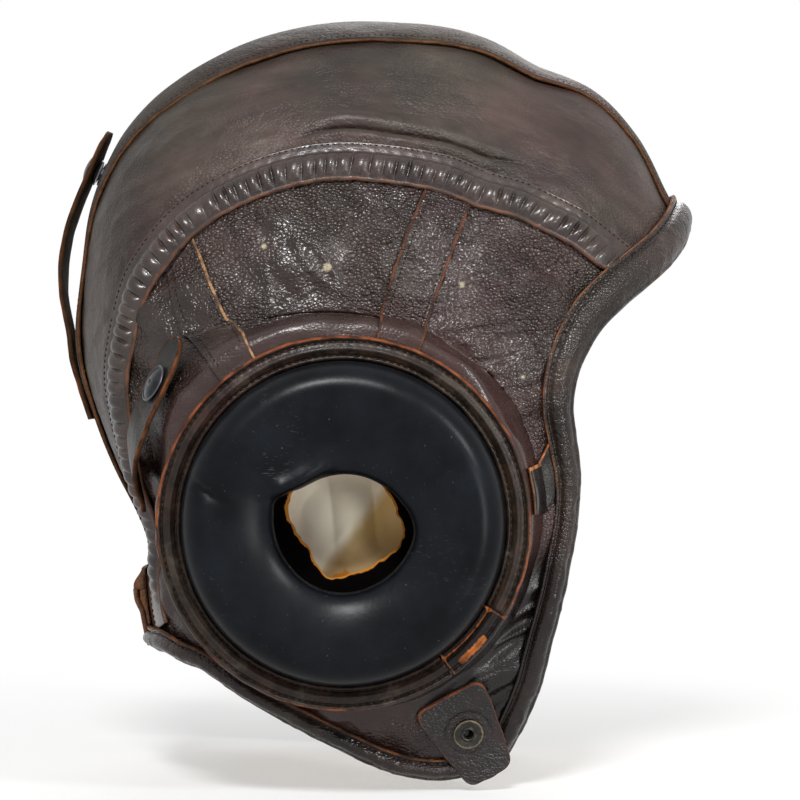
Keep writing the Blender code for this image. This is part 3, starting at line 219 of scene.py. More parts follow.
drum = dict(
    height=0.095, radius=0.0575, holeRadius=0.0522, shoulderReach=0.024, blendShare=0.42,
    within=(0, -0.035, 0),
    shoulderShares=(
        (-160, 0.05), (-130, 0.05), (-90, 0.08), (-60, 0.16), (-30, 0.24), (0, 0.26), (45, 0.38),
        (80, 0.38), (110, 0.52), (126, 0.82), (140, 1.05), (150, 0.80), (158, 0.50), (165, 0.28),
        (173, 0.13), (185, 0.07), (200, 0.05),
    ),
)


def panelEdge(ear):
    browEar, chinEar, napeEar = head["cornerEars"]
    ear = (ear - napeEar) % 360 + napeEar
    onArch = along(arch, (ear - browEar) / (napeEar + 360 - browEar))
    onCheek = along(cheek, (browEar - ear) / (browEar - chinEar))
    onJaw = along(jaw, (chinEar - ear) / (chinEar - napeEar))
    lower = np.where((ear >= chinEar)[..., None], onCheek, onJaw)
    return np.where((ear >= browEar)[..., None], onArch, lower)


def earAtArch(degrees):
    browEar, _, napeEar = head["cornerEars"]
    share = np.interp(degrees, arch[:, 0], np.linspace(0, 1, len(arch)))
    return browEar + share * (napeEar + 360 - browEar)


def sidePoint(ear, row):
    # Flat drum face to row 0, a cubic Bezier from the rim to the head form to row 1, then the form.
    ear, row = np.broadcast_arrays(np.asarray(ear, float), np.asarray(row, float))
    napeEar = head["cornerEars"][2]
    direction = earDirection(ear)
    sideways = np.array([0, -drum["height"], 0])
    rimWidth = drum["radius"] - drum["holeRadius"]
    flat = (drum["radius"] + rimWidth * np.minimum(row, 0))[..., None] * direction + sideways
    wrapped = (ear - napeEar) % 360 + napeEar
    foot = drum["radius"] + drum["shoulderReach"] * smoothTable(drum["shoulderShares"], wrapped)
    baseOut = outAtRadius(ear, foot)
    base = formPoint(ear, baseOut)
    inward = unit(formPoint(ear, baseOut + 1) - base)
    pull = (drum["blendShare"] * (foot - drum["radius"]))[..., None]
    rim = drum["radius"] * direction + sideways
    t = np.clip(row, 0, 1)[..., None]
    bend = (1 - t) ** 3 * rim + 3 * t * (1 - t) ** 2 * (rim + pull * direction)
    bend = bend + 3 * t**2 * (1 - t) * (base + pull * inward) + t**3 * base
    end = panelEdge(ear)
    turn = (end[..., 0] - ear + 180) % 360 - 180
    reached = np.clip(row - 1, 0, 1)
    field = formPoint(ear + reached * turn, baseOut + reached * (end[..., 1] - baseOut))
    return np.where((row <= 0)[..., None], flat, np.where((row <= 1)[..., None], bend, field))


def sideFrame(ear, row):
    # Points of the side panel's map and the normals there that face away from the head.
    low, high = np.maximum(row - 0.02, -1), np.minimum(row + 0.02, 2)
    down = sidePoint(ear, high) - sidePoint(ear, low)
    roundEar = sidePoint(ear + 1, row) - sidePoint(ear - 1, row)
    base, normal = sidePoint(ear, row), unit(np.cross(down, roundEar))
    return base, normal * np.sign((normal * (base - drum["within"])).sum(-1, keepdims=True))


# Noise and small shaping functions


def latticeNoise(points, size, seed):
    # A hashed number from -1 to 1 on each corner of a cubic lattice, blended by a quintic.
    scaled = points / size
    cell = np.floor(scaled).astype(np.int64)
    part = scaled - cell
    ease = part**3 * (part * (part * 6 - 15) + 10)
    total = np.zeros(points.shape[:-1])
    for corner in itertools.product((0, 1), repeat=3):
        spot = cell + np.array(corner)
        mixed = (spot[..., 0] * 73856093) ^ (spot[..., 1] * 19349663) ^ (spot[..., 2] * 83492791)
        mixed = (mixed ^ (seed * 40503)) & 0xFFFFFFFF
        mixed = ((mixed ^ (mixed >> 15)) * 2246822519) & 0xFFFFFFFF
        mixed = ((mixed ^ (mixed >> 13)) * 3266489917) & 0xFFFFFFFF
        weight = np.prod(np.where(np.array(corner) == 1, ease, 1 - ease), axis=-1)
        total += weight * ((mixed >> 8 & 0xFFFF) / 32767.5 - 1)
    return total


def bump(values, centre, spread):
    return np.exp(-(((values - centre) / spread) ** 2))


def smoothStep(values, low, high):
    share = np.clip((values - low) / (high - low), 0, 1)
    return share * share * (3 - 2 * share)


# Meshes from arrays


def meshFromArrays(name, points, quads, triangles=None, **values):
    # Faces are turned to point outwards: the signed volume round the middle is negative where they don't.
    triangles = np.zeros((0, 3), int) if triangles is None else triangles
    a, b, c, d = ((points - points.mean(0))[quads[:, k]] for k in range(4))
    if (np.cross(a, b) * c + np.cross(a, c) * d).sum() < 0:
        quads, triangles = quads[:, ::-1], triangles[:, ::-1]
    corners = np.concatenate([quads.ravel(), triangles.ravel()])
    sizes = np.concatenate([np.full(len(quads), 4), np.full(len(triangles), 3)])
    mesh = bpy.data.meshes.new(name)
    mesh.vertices.add(len(points))
    mesh.vertices.foreach_set("co", points.astype(np.float32).ravel())
    mesh.loops.add(len(corners))
    mesh.loops.foreach_set("vertex_index", corners.astype(np.int32))
    mesh.polygons.add(len(sizes))
    mesh.polygons.foreach_set("loop_start", (np.cumsum(sizes) - sizes).astype(np.int32))
    mesh.update(calc_edges=True)
    mesh.validate()
    for key, numbers in values.items():
        fillLayer(mesh, key, numbers)
    mesh.shade_smooth()
    return mesh


def fillLayer(mesh, key, numbers):
    layer = mesh.attributes.get(key) or mesh.attributes.new(key, "FLOAT", "POINT")
    layer.data.foreach_set("value", numbers.astype(np.float32).ravel())


def sheetMesh(name, outer, normals, thick, closed=False, raw=0.0):
    # Two skins a thickness apart with a bulged rim: outer grid, rim, inner grid, rim, in closed loops.
    count, rows = outer.shape[:2]
    thick = np.broadcast_to(np.asarray(thick, float), outer.shape[:2])[..., None]
    inner, bulge = outer - thick * normals, leather["rimBulge"]
    first = (outer[:, 0] + inner[:, 0]) / 2 + bulge * thick[:, 0] * unit(outer[:, 0] - outer[:, 1])
    last = (outer[:, -1] + inner[:, -1]) / 2 + bulge * thick[:, -1] * unit(outer[:, -1] - outer[:, -2])
    loops = np.concatenate([outer, last[:, None], inner[:, ::-1], first[:, None]], axis=1)
    one, full = np.ones((count, 1)), np.ones((count, rows))
    rawLoops = np.concatenate([raw * full, one, 0.35 * full, one], axis=1)
    face = np.concatenate([0 * full, one, full, one], axis=1)
    quads, size = loopQuads(count, 2 * rows + 2, closed)
    triangles = None
    if not closed:
        caps, triangles = capFaces(rows, size, count)
        quads = np.concatenate([quads, caps])
    return meshFromArrays(name, loops.reshape(-1, 3), quads, triangles, raw=rawLoops, inside=face)


def loopQuads(count, size, closed):
    i = np.arange(count if closed else count - 1)[:, None]
    j = np.arange(size)[None, :]
    after, beside = (i + 1) % count, (j + 1) % size
    quads = np.stack([i * size + j, after * size + j, after * size + beside, i * size + beside], -1)
    return quads.reshape(-1, 4), size


def capFaces(rows, size, count):
    j = np.arange(rows - 1)
    start = np.stack([j, j + 1, size - 3 - j, size - 2 - j], -1)
    tips = np.array([[rows - 1, rows, rows + 1], [0, size - 2, size - 1]])
    shift = (count - 1) * size
    quads = np.concatenate([start, start[:, ::-1] + shift])
    return quads, np.concatenate([tips, tips[:, ::-1] + shift])


def addObject(name, data, place=(0, 0, 0)):
    made = bpy.data.objects.new(name, data)
    made.location = place
    bpy.context.scene.collection.objects.link(made)
    return made


def addPiece(name, mesh, finish, body, nodes=()):
    piece = addObject(name, mesh)
    mesh.name = name
    mesh.materials.clear()
    mesh.materials.append(finishes[finish])
    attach(piece, body)
    if nodes:
        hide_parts(*nodes)
    return piece


def mirrored(mesh):
    twin = mesh.copy()
    twin.transform(Matrix.Diagonal((1, -1, 1, 1)))
    twin.flip_normals()
    return twin


def addPair(name, mesh, finish, body="shell", node=None):
    # The right piece as built and its mirror image on the left.
    pieces = {}
    for side, form in (("right", mesh), ("left", mirrored(mesh))):
        rides = body if body == "shell" else f"{body}_{side}"
        nodes = (f"{node}_{side}",) if node else ()
        pieces[side] = addPiece(f"{name}_{side}_look", form, finish, rides, nodes)
    return pieces


# Stitches: short thread capsules half sunk in the leather

thread = dict(length=0.0013, radius=0.00020, sides=6, wander=0.08)


def stitchMesh(name, places, normals, pitch, seed, skip):
    # Each stitch is a capsule along the line: radius times sqrt(1 - (2t - 1)^4) round a straight core.
    run = runAlong(places)
    count = max(int(run[-1] / pitch), 2)
    middles = (np.arange(count) + 0.5) * run[-1] / count
    rng = np.random.default_rng(seed)
    keep = rng.random(count) >= skip
    middles = middles[keep]
    before, centre, after = (rowsAt(places, run, middles + shift) for shift in (-0.0004, 0, 0.0004))
    normal = unit(rowsAt(normals, run, middles))
    ahead = unit(after - before)
    across = unit(np.cross(ahead, normal))
    ahead = unit(ahead + across * rng.normal(0, thread["wander"], (len(middles), 1)))
    stations = np.array([0.0, 0.12, 0.5, 0.88, 1.0])
    swell = np.array([0.25, 0.8, 1.0, 0.8, 0.25]) * thread["radius"]
    arched = np.array([-0.9, -0.1, 0.35, -0.1, -0.9]) * thread["radius"]
    turns = np.linspace(0, 2 * math.pi, thread["sides"], endpoint=False)
    core = centre[:, None] + (stations[None, :, None] - 0.5) * thread["length"] * ahead[:, None]
    core = core + arched[None, :, None] * normal[:, None]
    circle = np.cos(turns)[:, None] * across[:, None] + np.sin(turns)[:, None] * normal[:, None]
    points = core[:, :, None] + swell[None, :, None, None] * circle[:, None]
    rows, sides = len(stations), thread["sides"]
    quads, _ = loopQuads(rows, sides, False)
    ends = []
    for first in (0, (rows - 1) * sides):
        ends.append([first, first + 1, first + 2, first + 5])
        ends.append([first + 2, first + 3, first + 4, first + 5])
    ends = np.array(ends)
    ends[:2] = ends[:2, ::-1]
    block = np.concatenate([quads, ends])
    shifts = (np.arange(len(middles)) * rows * sides)[:, None, None]
    return meshFromArrays(name, points.reshape(-1, 3), (block[None] + shifts).reshape(-1, 4))


def joined(name, meshes):
    # One mesh that holds all of them, with the point attributes that they share.
    work = bmesh.new()
    for mesh in meshes:
        work.from_mesh(mesh)
    mesh = bpy.data.meshes.new(name)
    work.to_mesh(mesh)
    work.free()
    mesh.shade_smooth()
    return mesh


# Shader groups: each puts out colours, masks and heights only


def addNode(tree, kind, inputs=None, **settings):
    node = tree.nodes.new(kind)
    for key, value in settings.items():
        setattr(node, key, value)
    for key, value in (inputs or {}).items():
        fillSocket(tree, node.inputs[key], value)
    return node


def fillSocket(tree, socket, value):
    # Takes a socket to link from or a plain value, and completes a colour of three numbers.
    if isinstance(value, bpy.types.NodeSocket):
        tree.links.new(value, socket)
    else:
        socket.default_value = (*value[:3], 1.0) if socket.type == "RGBA" else value


def maths(tree, operation, a, b=0.0, c=0.0, clamp=False):
    node = addNode(tree, "ShaderNodeMath", {0: a, 1: b, 2: c}, operation=operation, use_clamp=clamp)
    return node.outputs[0]


def times(tree, a, b):
    return maths(tree, "MULTIPLY", a, b)


def timesPlus(tree, a, b, c, clamp=False):
    return maths(tree, "MULTIPLY_ADD", a, b, c, clamp)


def oneMinus(tree, value, clamp=False):
    return maths(tree, "SUBTRACT", 1.0, value, clamp=clamp)


def vectorMath(tree, operation, a, b, result="Vector"):
    key = "Scale" if operation == "SCALE" else 1
    return addNode(tree, "ShaderNodeVectorMath", {0: a, key: b}, operation=operation).outputs[result]


def splitVector(tree, vector):
    return addNode(tree, "ShaderNodeSeparateXYZ", {0: vector}).outputs


def mapped(tree, value, low, high, newLow=0.0, newHigh=1.0):
    inputs = {"Value": value, "From Min": low, "From Max": high, "To Min": newLow, "To Max": newHigh}
    return addNode(tree, "ShaderNodeMapRange", inputs, interpolation_type="SMOOTHSTEP").outputs[0]


def mixed(tree, share, first, second, blend="MIX"):
    inputs = {0: share, 6: first, 7: second}
    return addNode(tree, "ShaderNodeMix", inputs, data_type="RGBA", blend_type=blend).outputs[2]


def noiseOf(tree, vector, scale, detail, rough=0.5, distortion=0.0):
    inputs = {"Vector": vector, "Scale": scale, "Detail": detail, "Roughness": rough}
    inputs["Distortion"] = distortion
    return addNode(tree, "ShaderNodeTexNoise", inputs).outputs[0]


def makeGroup(name, inputs, outputs, build):
    # A shader group whose sockets are name=default, the kind told by the default; build returns its results.
    kinds = {type(None): "NodeSocketVector", float: "NodeSocketFloat", tuple: "NodeSocketColor"}
    group = bpy.data.node_groups.new(name, "ShaderNodeTree")
    for label, default in inputs.items():
        socket = group.interface.new_socket(label, in_out="INPUT", socket_type=kinds[type(default)])
        if default is not None:
            socket.default_value = default
    for label in outputs:
        kind = kinds[tuple if label == "Colour" else float]
        group.interface.new_socket(label, in_out="OUTPUT", socket_type=kind)
    entry = group.nodes.new("NodeGroupInput")
    leave = group.nodes.new("NodeGroupOutput")
    for label, value in build(group, entry.outputs).items():
        group.links.new(value, leave.inputs[label])
    return group


def useGroup(tree, group, **inputs):
    return addNode(tree, "ShaderNodeGroup", inputs, node_tree=group).outputs


def wrinkleLines(tree, vector, slant):
    # Ridged noise on coordinates turned about Y by the slant and shortened along the wrinkles.
    turned = addNode(
        tree, "ShaderNodeVectorRotate", {"Vector": vector, "Angle": slant}, rotation_type="Y_AXIS"
    )
    long = vectorMath(tree, "MULTIPLY", turned.outputs[0], (0.32, 0.7, 1.0))
    noise = noiseOf(tree, long, 270.0, 2.0, 0.5, 0.3)
    return mapped(tree, maths(tree, "ABSOLUTE", maths(tree, "SUBTRACT", noise, 0.5)), 0.0, 0.22)


def buildGrain(tree, given):
    # Rounded pebbles between narrow valleys: 0.15 smoothstep(distance to the edge) + 0.85 (1 - distance^2).
    vector = given["Vector"]
    warp = addNode(tree, "ShaderNodeTexNoise", {"Vector": vector, "Scale": 260.0, "Detail": 1.0}).outputs[1]
    moved = vectorMath(tree, "SCALE", vectorMath(tree, "ADD", warp, (-0.5, -0.5, -0.5)), 0.0016)
    bent = vectorMath(tree, "ADD", vector, moved)
    wide = vectorMath(tree, "MULTIPLY", bent, (0.78, 1.0, 1.0))
    cells = {"Vector": wide, "Scale": maths(tree, "DIVIDE", 1.0, given["Size"]), "Randomness": 0.9}
    away = addNode(tree, "ShaderNodeTexVoronoi", cells).outputs["Distance"]
    edge = addNode(tree, "ShaderNodeTexVoronoi", cells, feature="DISTANCE_TO_EDGE").outputs["Distance"]
    flat = mapped(tree, edge, 0.0, 0.20)
    round = oneMinus(tree, times(tree, away, away), clamp=True)
    dome = timesPlus(tree, flat, 0.15, times(tree, round, 0.85))
    patch = mapped(tree, noiseOf(tree, vector, 36.0, 3.0, 0.6), 0.40, 0.62)
    strength = timesPlus(tree, patch, given["Patchy"], oneMinus(tree, given["Patchy"]))
    lines = wrinkleLines(tree, bent, given["Slant"])
    height = timesPlus(tree, lines, given["Wrinkle"], times(tree, dome, strength))
    return {"Height": height, "Valley": times(tree, oneMinus(tree, flat), strength)}


def buildWorn(tree, given):
    # Raw edge colour where the raw attribute is high, ragged by noise, with rubbed spots round it.
    ragged = noiseOf(tree, given["Vector"], 900.0, 3.0, 0.6)
    streaks = noiseOf(tree, given["Vector"], 170.0, 2.0)
    reach = timesPlus(tree, ragged, 0.55, maths(tree, "SUBTRACT", given["Raw"], 0.28))
    mask = mapped(tree, reach, given["Start"], maths(tree, "ADD", given["Start"], 0.22))
    deep = mixed(tree, mapped(tree, streaks, 0.35, 0.65), (0.045, 0.016, 0.007), (0.20, 0.075, 0.026))
    tinted = mixed(tree, 1.0, deep, given["Tint"], "MULTIPLY")
    return {"Colour": mixed(tree, mask, given["Colour"], tinted), "Mask": mask}


def buildClouds(tree, given):
    # Two leather tones in soft clouds, redder and greener by turns, with painted shade in the grain's
    # valleys, and greyer with dust.
    vector = given["Vector"]
    cloud = mapped(tree, noiseOf(tree, vector, given["Scale"], 4.0, 0.6, 0.4), 0.3, 0.7)
    hue = mapped(tree, noiseOf(tree, vector, 21.0, 2.0), 0.36, 0.64)
    hue = mixed(tree, hue, (1.12, 0.95, 0.96), (0.94, 1.00, 0.90))
    tone = mixed(tree, 1.0, mixed(tree, cloud, given["Dark"], given["Light"]), hue, "MULTIPLY")
    # Painted shade: the grain's valleys are mixed towards near black.
    tone = mixed(tree, times(tree, given["Valley"], 0.75), tone, (0.0040, 0.0028, 0.0024))
    dusty = times(tree, mapped(tree, noiseOf(tree, vector, 95.0, 5.0, 0.7), 0.54, 0.80), given["Dust"])
    return {"Colour": mixed(tree, dusty, tone, (0.17, 0.145, 0.115)), "Cloud": cloud}


def buildEarRadius(tree, given):
    # Distance from the ear axis, which runs along Y.
    x, _, z = splitVector(tree, given["Vector"])
    return {"Radius": maths(tree, "SQRT", timesPlus(tree, z, z, times(tree, x, x)))}


black = (0.0, 0.0, 0.0, 1.0)
grainInputs = dict(Vector=None, Size=0.0012, Patchy=0.5, Wrinkle=0.3, Slant=0.3)
grainGroup = makeGroup("pebbledGrain", grainInputs, ("Height", "Valley"), buildGrain)
wornInputs = dict(Vector=None, Raw=0.0, Start=0.45, Tint=(1.0, 1.0, 1.0, 1.0), Colour=black)
wornGroup = makeGroup("wornRawEdge", wornInputs, ("Colour", "Mask"), buildWorn)
cloudInputs = dict(Vector=None, Scale=30.0, Valley=0.0, Dust=0.2, Dark=black, Light=black)
cloudGroup = makeGroup("leatherClouds", cloudInputs, ("Colour", "Cloud"), buildClouds)
earRadiusGroup = makeGroup("earRadius", dict(Vector=None), ("Radius",), buildEarRadius)


def newMaterial(name):
    made = bpy.data.materials.new(name)
    made.use_nodes = True
    tree = made.node_tree
    where = addNode(tree, "ShaderNodeTexCoord").outputs["Object"]
    return made, tree, tree.nodes["Principled BSDF"], where


def attributeOf(tree, name):
    return addNode(tree, "ShaderNodeAttribute", attribute_name=name, attribute_type="GEOMETRY").outputs["Fac"]


def connect(tree, shader, height, strength, distance, **values):
    dent = {"Height": height, "Strength": strength, "Distance": distance}
    values["Normal"] = addNode(tree, "ShaderNodeBump", dent).outputs[0]
    for key, value in values.items():
        fillSocket(tree, shader.inputs[key.replace("_", " ")], value)


def speckMask(tree, where, places):
    # Small ragged spots of dried dirt on the right side: (x, z, radius) rows, measured across the panel.
    x, y, z = splitVector(tree, where)
    flat = addNode(tree, "ShaderNodeCombineXYZ", {0: x, 1: 0.0, 2: z}).outputs[0]
    nearest = 1.0
    for spotX, spotZ, radius in places:
        away = vectorMath(tree, "DISTANCE", flat, (spotX, 0.0, spotZ), "Value")
        nearest = maths(tree, "MINIMUM", nearest, maths(tree, "SUBTRACT", away, radius))
    ragged = timesPlus(tree, noiseOf(tree, where, 900.0, 2.0), 0.0010, nearest)
    right = maths(tree, "LESS_THAN", y, -0.060)
    return times(tree, mapped(tree, ragged, 0.0001, 0.0012, 0.8, 0.0), right)


def rubbedStreaks(tree, where, radius, colour, strength):
    # Rubbing that runs round the ear axis: noise of (radius, angle) drawn out along the angle.
    x, _, z = splitVector(tree, where)
    angle = maths(tree, "ARCTAN2", z, x)
    flat = {0: times(tree, radius, 260.0), 1: times(tree, angle, 6.0), 2: 0.0}
    noise = noiseOf(tree, addNode(tree, "ShaderNodeCombineXYZ", flat).outputs[0], 1.0, 4.0, 0.6)
    tone = mixed(tree, mapped(tree, noise, 0.3, 0.7), (0.62, 0.60, 0.58), (1.30, 1.32, 1.34))
    return mixed(tree, 1.0, colour, mixed(tree, strength, (1, 1, 1), tone), "MULTIPLY")


def leatherFinish(name, look):
    # Grained leather with raw orange-brown edges, reddened where it is drawn up to the ear ring.
    made, tree, shader, where = newMaterial(name)
    grain = useGroup(
        tree, grainGroup, Vector=where, Size=look["grain"], Patchy=look["patchy"], Wrinkle=look["wrinkle"],
        Slant=look["slant"],
    )
    clouds = useGroup(
        tree, cloudGroup, Vector=where, Scale=look["cloudScale"], Dust=look["dust"],
        Valley=times(tree, grain["Valley"], look["valleyShade"]), Dark=look["dark"], Light=look["light"],
    )
    radius = useGroup(tree, earRadiusGroup, Vector=where)["Radius"]
    colour = rubbedStreaks(tree, where, radius, clouds["Colour"], look["streak"])
    # The cheek is a fan forward of and below the ear, where the leather is smooth, and where the shade under
    # the ear cup is painted in as a darker colour.
    forward = vectorMath(tree, "DOT_PRODUCT", where, (0.76, 0.0, -0.65), "Value")
    cheek = mapped(tree, maths(tree, "DIVIDE", forward, radius), 0.80, 0.93)
    cheek = times(tree, cheek, look["cheek"])
    ragged = timesPlus(tree, noiseOf(tree, where, 70.0, 3.0), 0.024, radius)
    near = times(tree, mapped(tree, ragged, 0.072, 0.098, 1.0, 0.0), look["red"])
    near = times(tree, near, mapped(tree, splitVector(tree, where)[0], -0.030, 0.035, 0.25, 1.0))
    near = times(tree, near, oneMinus(tree, cheek))
    # Painted shade: the cheek fan is mixed towards near black.
    colour = mixed(tree, cheek, colour, (0.0050, 0.0037, 0.0034))
    colour = mixed(tree, near, colour, (0.033, 0.0125, 0.0105))
    colour = mixed(tree, speckMask(tree, where, look["specks"]), colour, (0.42, 0.36, 0.24))
    worn = useGroup(
        tree, wornGroup, Vector=where, Raw=attributeOf(tree, "raw"), Start=look["rawStart"],
        Tint=look["rawTint"], Colour=colour,
    )
    inside = attributeOf(tree, "inside")
    nap = mapped(tree, noiseOf(tree, where, 240.0, 5.0, 0.7), 0.3, 0.7)
    deep, pale = ([share * part for part in look["back"]] for share in (0.55, 1.35))
    colour = mixed(tree, inside, worn["Colour"], mixed(tree, nap, deep, pale))
    gloss = timesPlus(tree, grain["Valley"], 0.16, look["rough"])
    gloss = timesPlus(tree, clouds["Cloud"], look["roughCloud"], gloss)
    gloss = timesPlus(tree, maths(tree, "MAXIMUM", worn["Mask"], inside), 0.4, gloss, clamp=True)
    drawn = times(tree, grain["Height"], mapped(tree, radius, 0.0640, 0.0715, look["drawn"], 1.0))
    drawn = times(tree, drawn, timesPlus(tree, cheek, -0.75, 1.0))
    fuzz = times(tree, worn["Mask"], noiseOf(tree, where, 1500.0, 2.0))
    connect(
        tree, shader, timesPlus(tree, fuzz, 0.8, drawn), look["relief"], look["depth"],
        Base_Color=colour, Roughness=gloss, Specular_IOR_Level=look["shine"],
    )
    return made


plainLook = dict(
    grain=0.0010, slant=0.2, patchy=0.8, wrinkle=0.2, valleyShade=1.0, dust=0.20, streak=0.0, red=0.0, cheek=0.0,
    drawn=1.0, specks=(), rawStart=0.40, back=(0.10, 0.045, 0.02), roughCloud=0.08, relief=0.5,
)
looks = dict(
    crown=dict(
        dark=(0.018, 0.0118, 0.0098), light=(0.058, 0.0425, 0.0350), cloudScale=17.0, slant=-0.5, patchy=0.75,
        wrinkle=0.35, rawStart=0.42, rawTint=(0.9, 0.80, 0.75), rough=0.36, roughCloud=0.12, relief=0.6,
        depth=0.00050, shine=0.30, valleyShade=0.35, streak=0.65,
    ),
    side=dict(
        dark=(0.0150, 0.0086, 0.0076), light=(0.046, 0.0295, 0.0255), cloudScale=34.0, grain=0.00105,
        slant=0.45, patchy=0.74, wrinkle=0.36, dust=0.10, red=0.80, rawStart=0.42, rawTint=(0.52, 0.43, 0.39),
        back=(0.08, 0.035, 0.016), rough=0.22, relief=1.0, depth=0.00070, cheek=0.92, shine=0.36, drawn=0.22,
        specks=(
            (-0.0265, 0.0896, 0.0006), (-0.0057, 0.0825, 0.0011), (0.0381, 0.0770, 0.0007),
            (0.0579, 0.0468, 0.0004),
        ),
    ),
    trim=dict(
        dark=(0.0095, 0.0056, 0.0047), light=(0.031, 0.0200, 0.0160), cloudScale=48.0, patchy=0.7,
        wrinkle=0.40, dust=0.16, rawTint=(1, 0.92, 0.85), rough=0.20, relief=0.8, depth=0.00042, shine=0.30,
        cheek=0.7,
    ),
    band=dict(
        dark=(0.0170, 0.0096, 0.0080), light=(0.048, 0.0300, 0.0248), cloudScale=60.0, patchy=0.7,
        wrinkle=0.10, rawTint=(0.50, 0.38, 0.33), rough=0.21, roughCloud=0.05, relief=0.3, depth=0.00015,
        shine=0.52,
    ),
    ring=dict(
        dark=(0.0072, 0.0045, 0.0034), light=(0.030, 0.0170, 0.0120), cloudScale=140.0, grain=0.0008,
        dust=0.25, rawStart=0.34, rawTint=(1.1, 0.8, 0.7), rough=0.28, roughCloud=0.12, depth=0.00018,
        shine=0.22,
    ),
    patch=dict(
        dark=(0.0060, 0.0050, 0.0045), light=(0.013, 0.010, 0.009), cloudScale=90.0, grain=0.0009, patchy=0.4,
        wrinkle=0.3, rawStart=0.46, rawTint=(1.9, 1.6, 1.1), rough=0.28, roughCloud=0.10, relief=0.6,
        depth=0.00020, shine=0.18,
    ),
    cheekPatch=dict(
        dark=(0.0050, 0.0038, 0.0038), light=(0.011, 0.0080, 0.0070), cloudScale=70.0, dust=0.12,
        rawTint=(2.0, 1.9, 1.7), rough=0.20, roughCloud=0.06, relief=0.35, depth=0.00018, shine=0.26,
    ),
    strap=dict(
        dark=(0.0085, 0.0065, 0.0055), light=(0.022, 0.0170, 0.0145), cloudScale=60.0, grain=0.0009,
        rawStart=0.42, rawTint=(0.8, 0.6, 0.5), back=(0.042, 0.020, 0.009), rough=0.32, depth=0.00020,
        shine=0.09,
    ),
    chinTab=dict(
        dark=(0.0040, 0.0020, 0.0022), light=(0.0170, 0.0078, 0.0078), cloudScale=60.0, patchy=0.6,
        wrinkle=0.3, dust=0.12, rawStart=0.46, rawTint=(0.85, 0.62, 0.52), back=(0.08, 0.035, 0.016),
        rough=0.24, roughCloud=0.12, relief=0.8, depth=0.00040, shine=0.42,
    ),
)
looks["strip"] = dict(
    looks["crown"], dark=(0.017, 0.0105, 0.0085), light=(0.046, 0.0330, 0.0265), rough=0.46, shine=0.12,
    rawTint=(1.1, 0.95, 0.9),
)
looks["rearTape"] = dict(looks["side"], rawTint=(1.6, 2.3, 3.0), red=0.3)
finishes = {name: leatherFinish(name + "Leather", {**plainLook, **look}) for name, look in looks.items()}


def rubberFinish():
    # Satin moulded rubber, rubbed paler in patches, with fine scratches and a breath of dust.
    made, tree, shader, where = newMaterial("cupRubber")
    cloud = noiseOf(tree, where, 45.0, 4.0, 0.6)
    colour = mixed(tree, mapped(tree, cloud, 0.3, 0.7), (0.0007, 0.0011, 0.0020), (0.0036, 0.0050, 0.0072))
    turned = {"Vector": where, "Scale": (1.0, 1.0, 7.0), "Rotation": (0, 0.6, 0)}
    long = addNode(tree, "ShaderNodeMapping", turned).outputs[0]
    scratch = mapped(tree, noiseOf(tree, long, 420.0, 1.0), 0.66, 0.72)
    rubbed = times(tree, scratch, mapped(tree, noiseOf(tree, where, 38.0, 2.0), 0.5, 0.7))
    specks = mapped(tree, noiseOf(tree, where, 1300.0, 1.0), 0.76, 0.80)
    pale = maths(tree, "MAXIMUM", times(tree, rubbed, 0.25), times(tree, specks, 0.5))
    rough = timesPlus(tree, pale, 0.5, timesPlus(tree, cloud, 0.14, 0.25))
    height = timesPlus(tree, noiseOf(tree, where, 120.0, 4.0, 0.6), 0.6, noiseOf(tree, where, 700.0, 2.0))
    connect(
        tree, shader, height, 0.16, 0.0002, Base_Color=mixed(tree, pale, colour, (0.09, 0.095, 0.10)),
        Roughness=rough, Specular_IOR_Level=0.12,
    )
    return made


def metalFinish(name, look):
    # Darkened metal that shows brighter on its raised rim, by the rub attribute.
    made, tree, shader, where = newMaterial(name)
    blotch = mapped(tree, noiseOf(tree, where, 380.0, 4.0, 0.65), 0.35, 0.7)
    rub = timesPlus(tree, blotch, 0.5, maths(tree, "SUBTRACT", attributeOf(tree, "rub"), 0.25))
    colour = mixed(tree, blotch, look["dark"], look["light"])
    connect(
        tree, shader, noiseOf(tree, where, 900.0, 3.0), 0.12, 0.0001,
        Base_Color=mixed(tree, mapped(tree, rub, 0.35, 0.8), colour, look["bright"]),
        Roughness=timesPlus(tree, blotch, 0.2, look["rough"]), Metallic=look["metal"],
    )
    return made


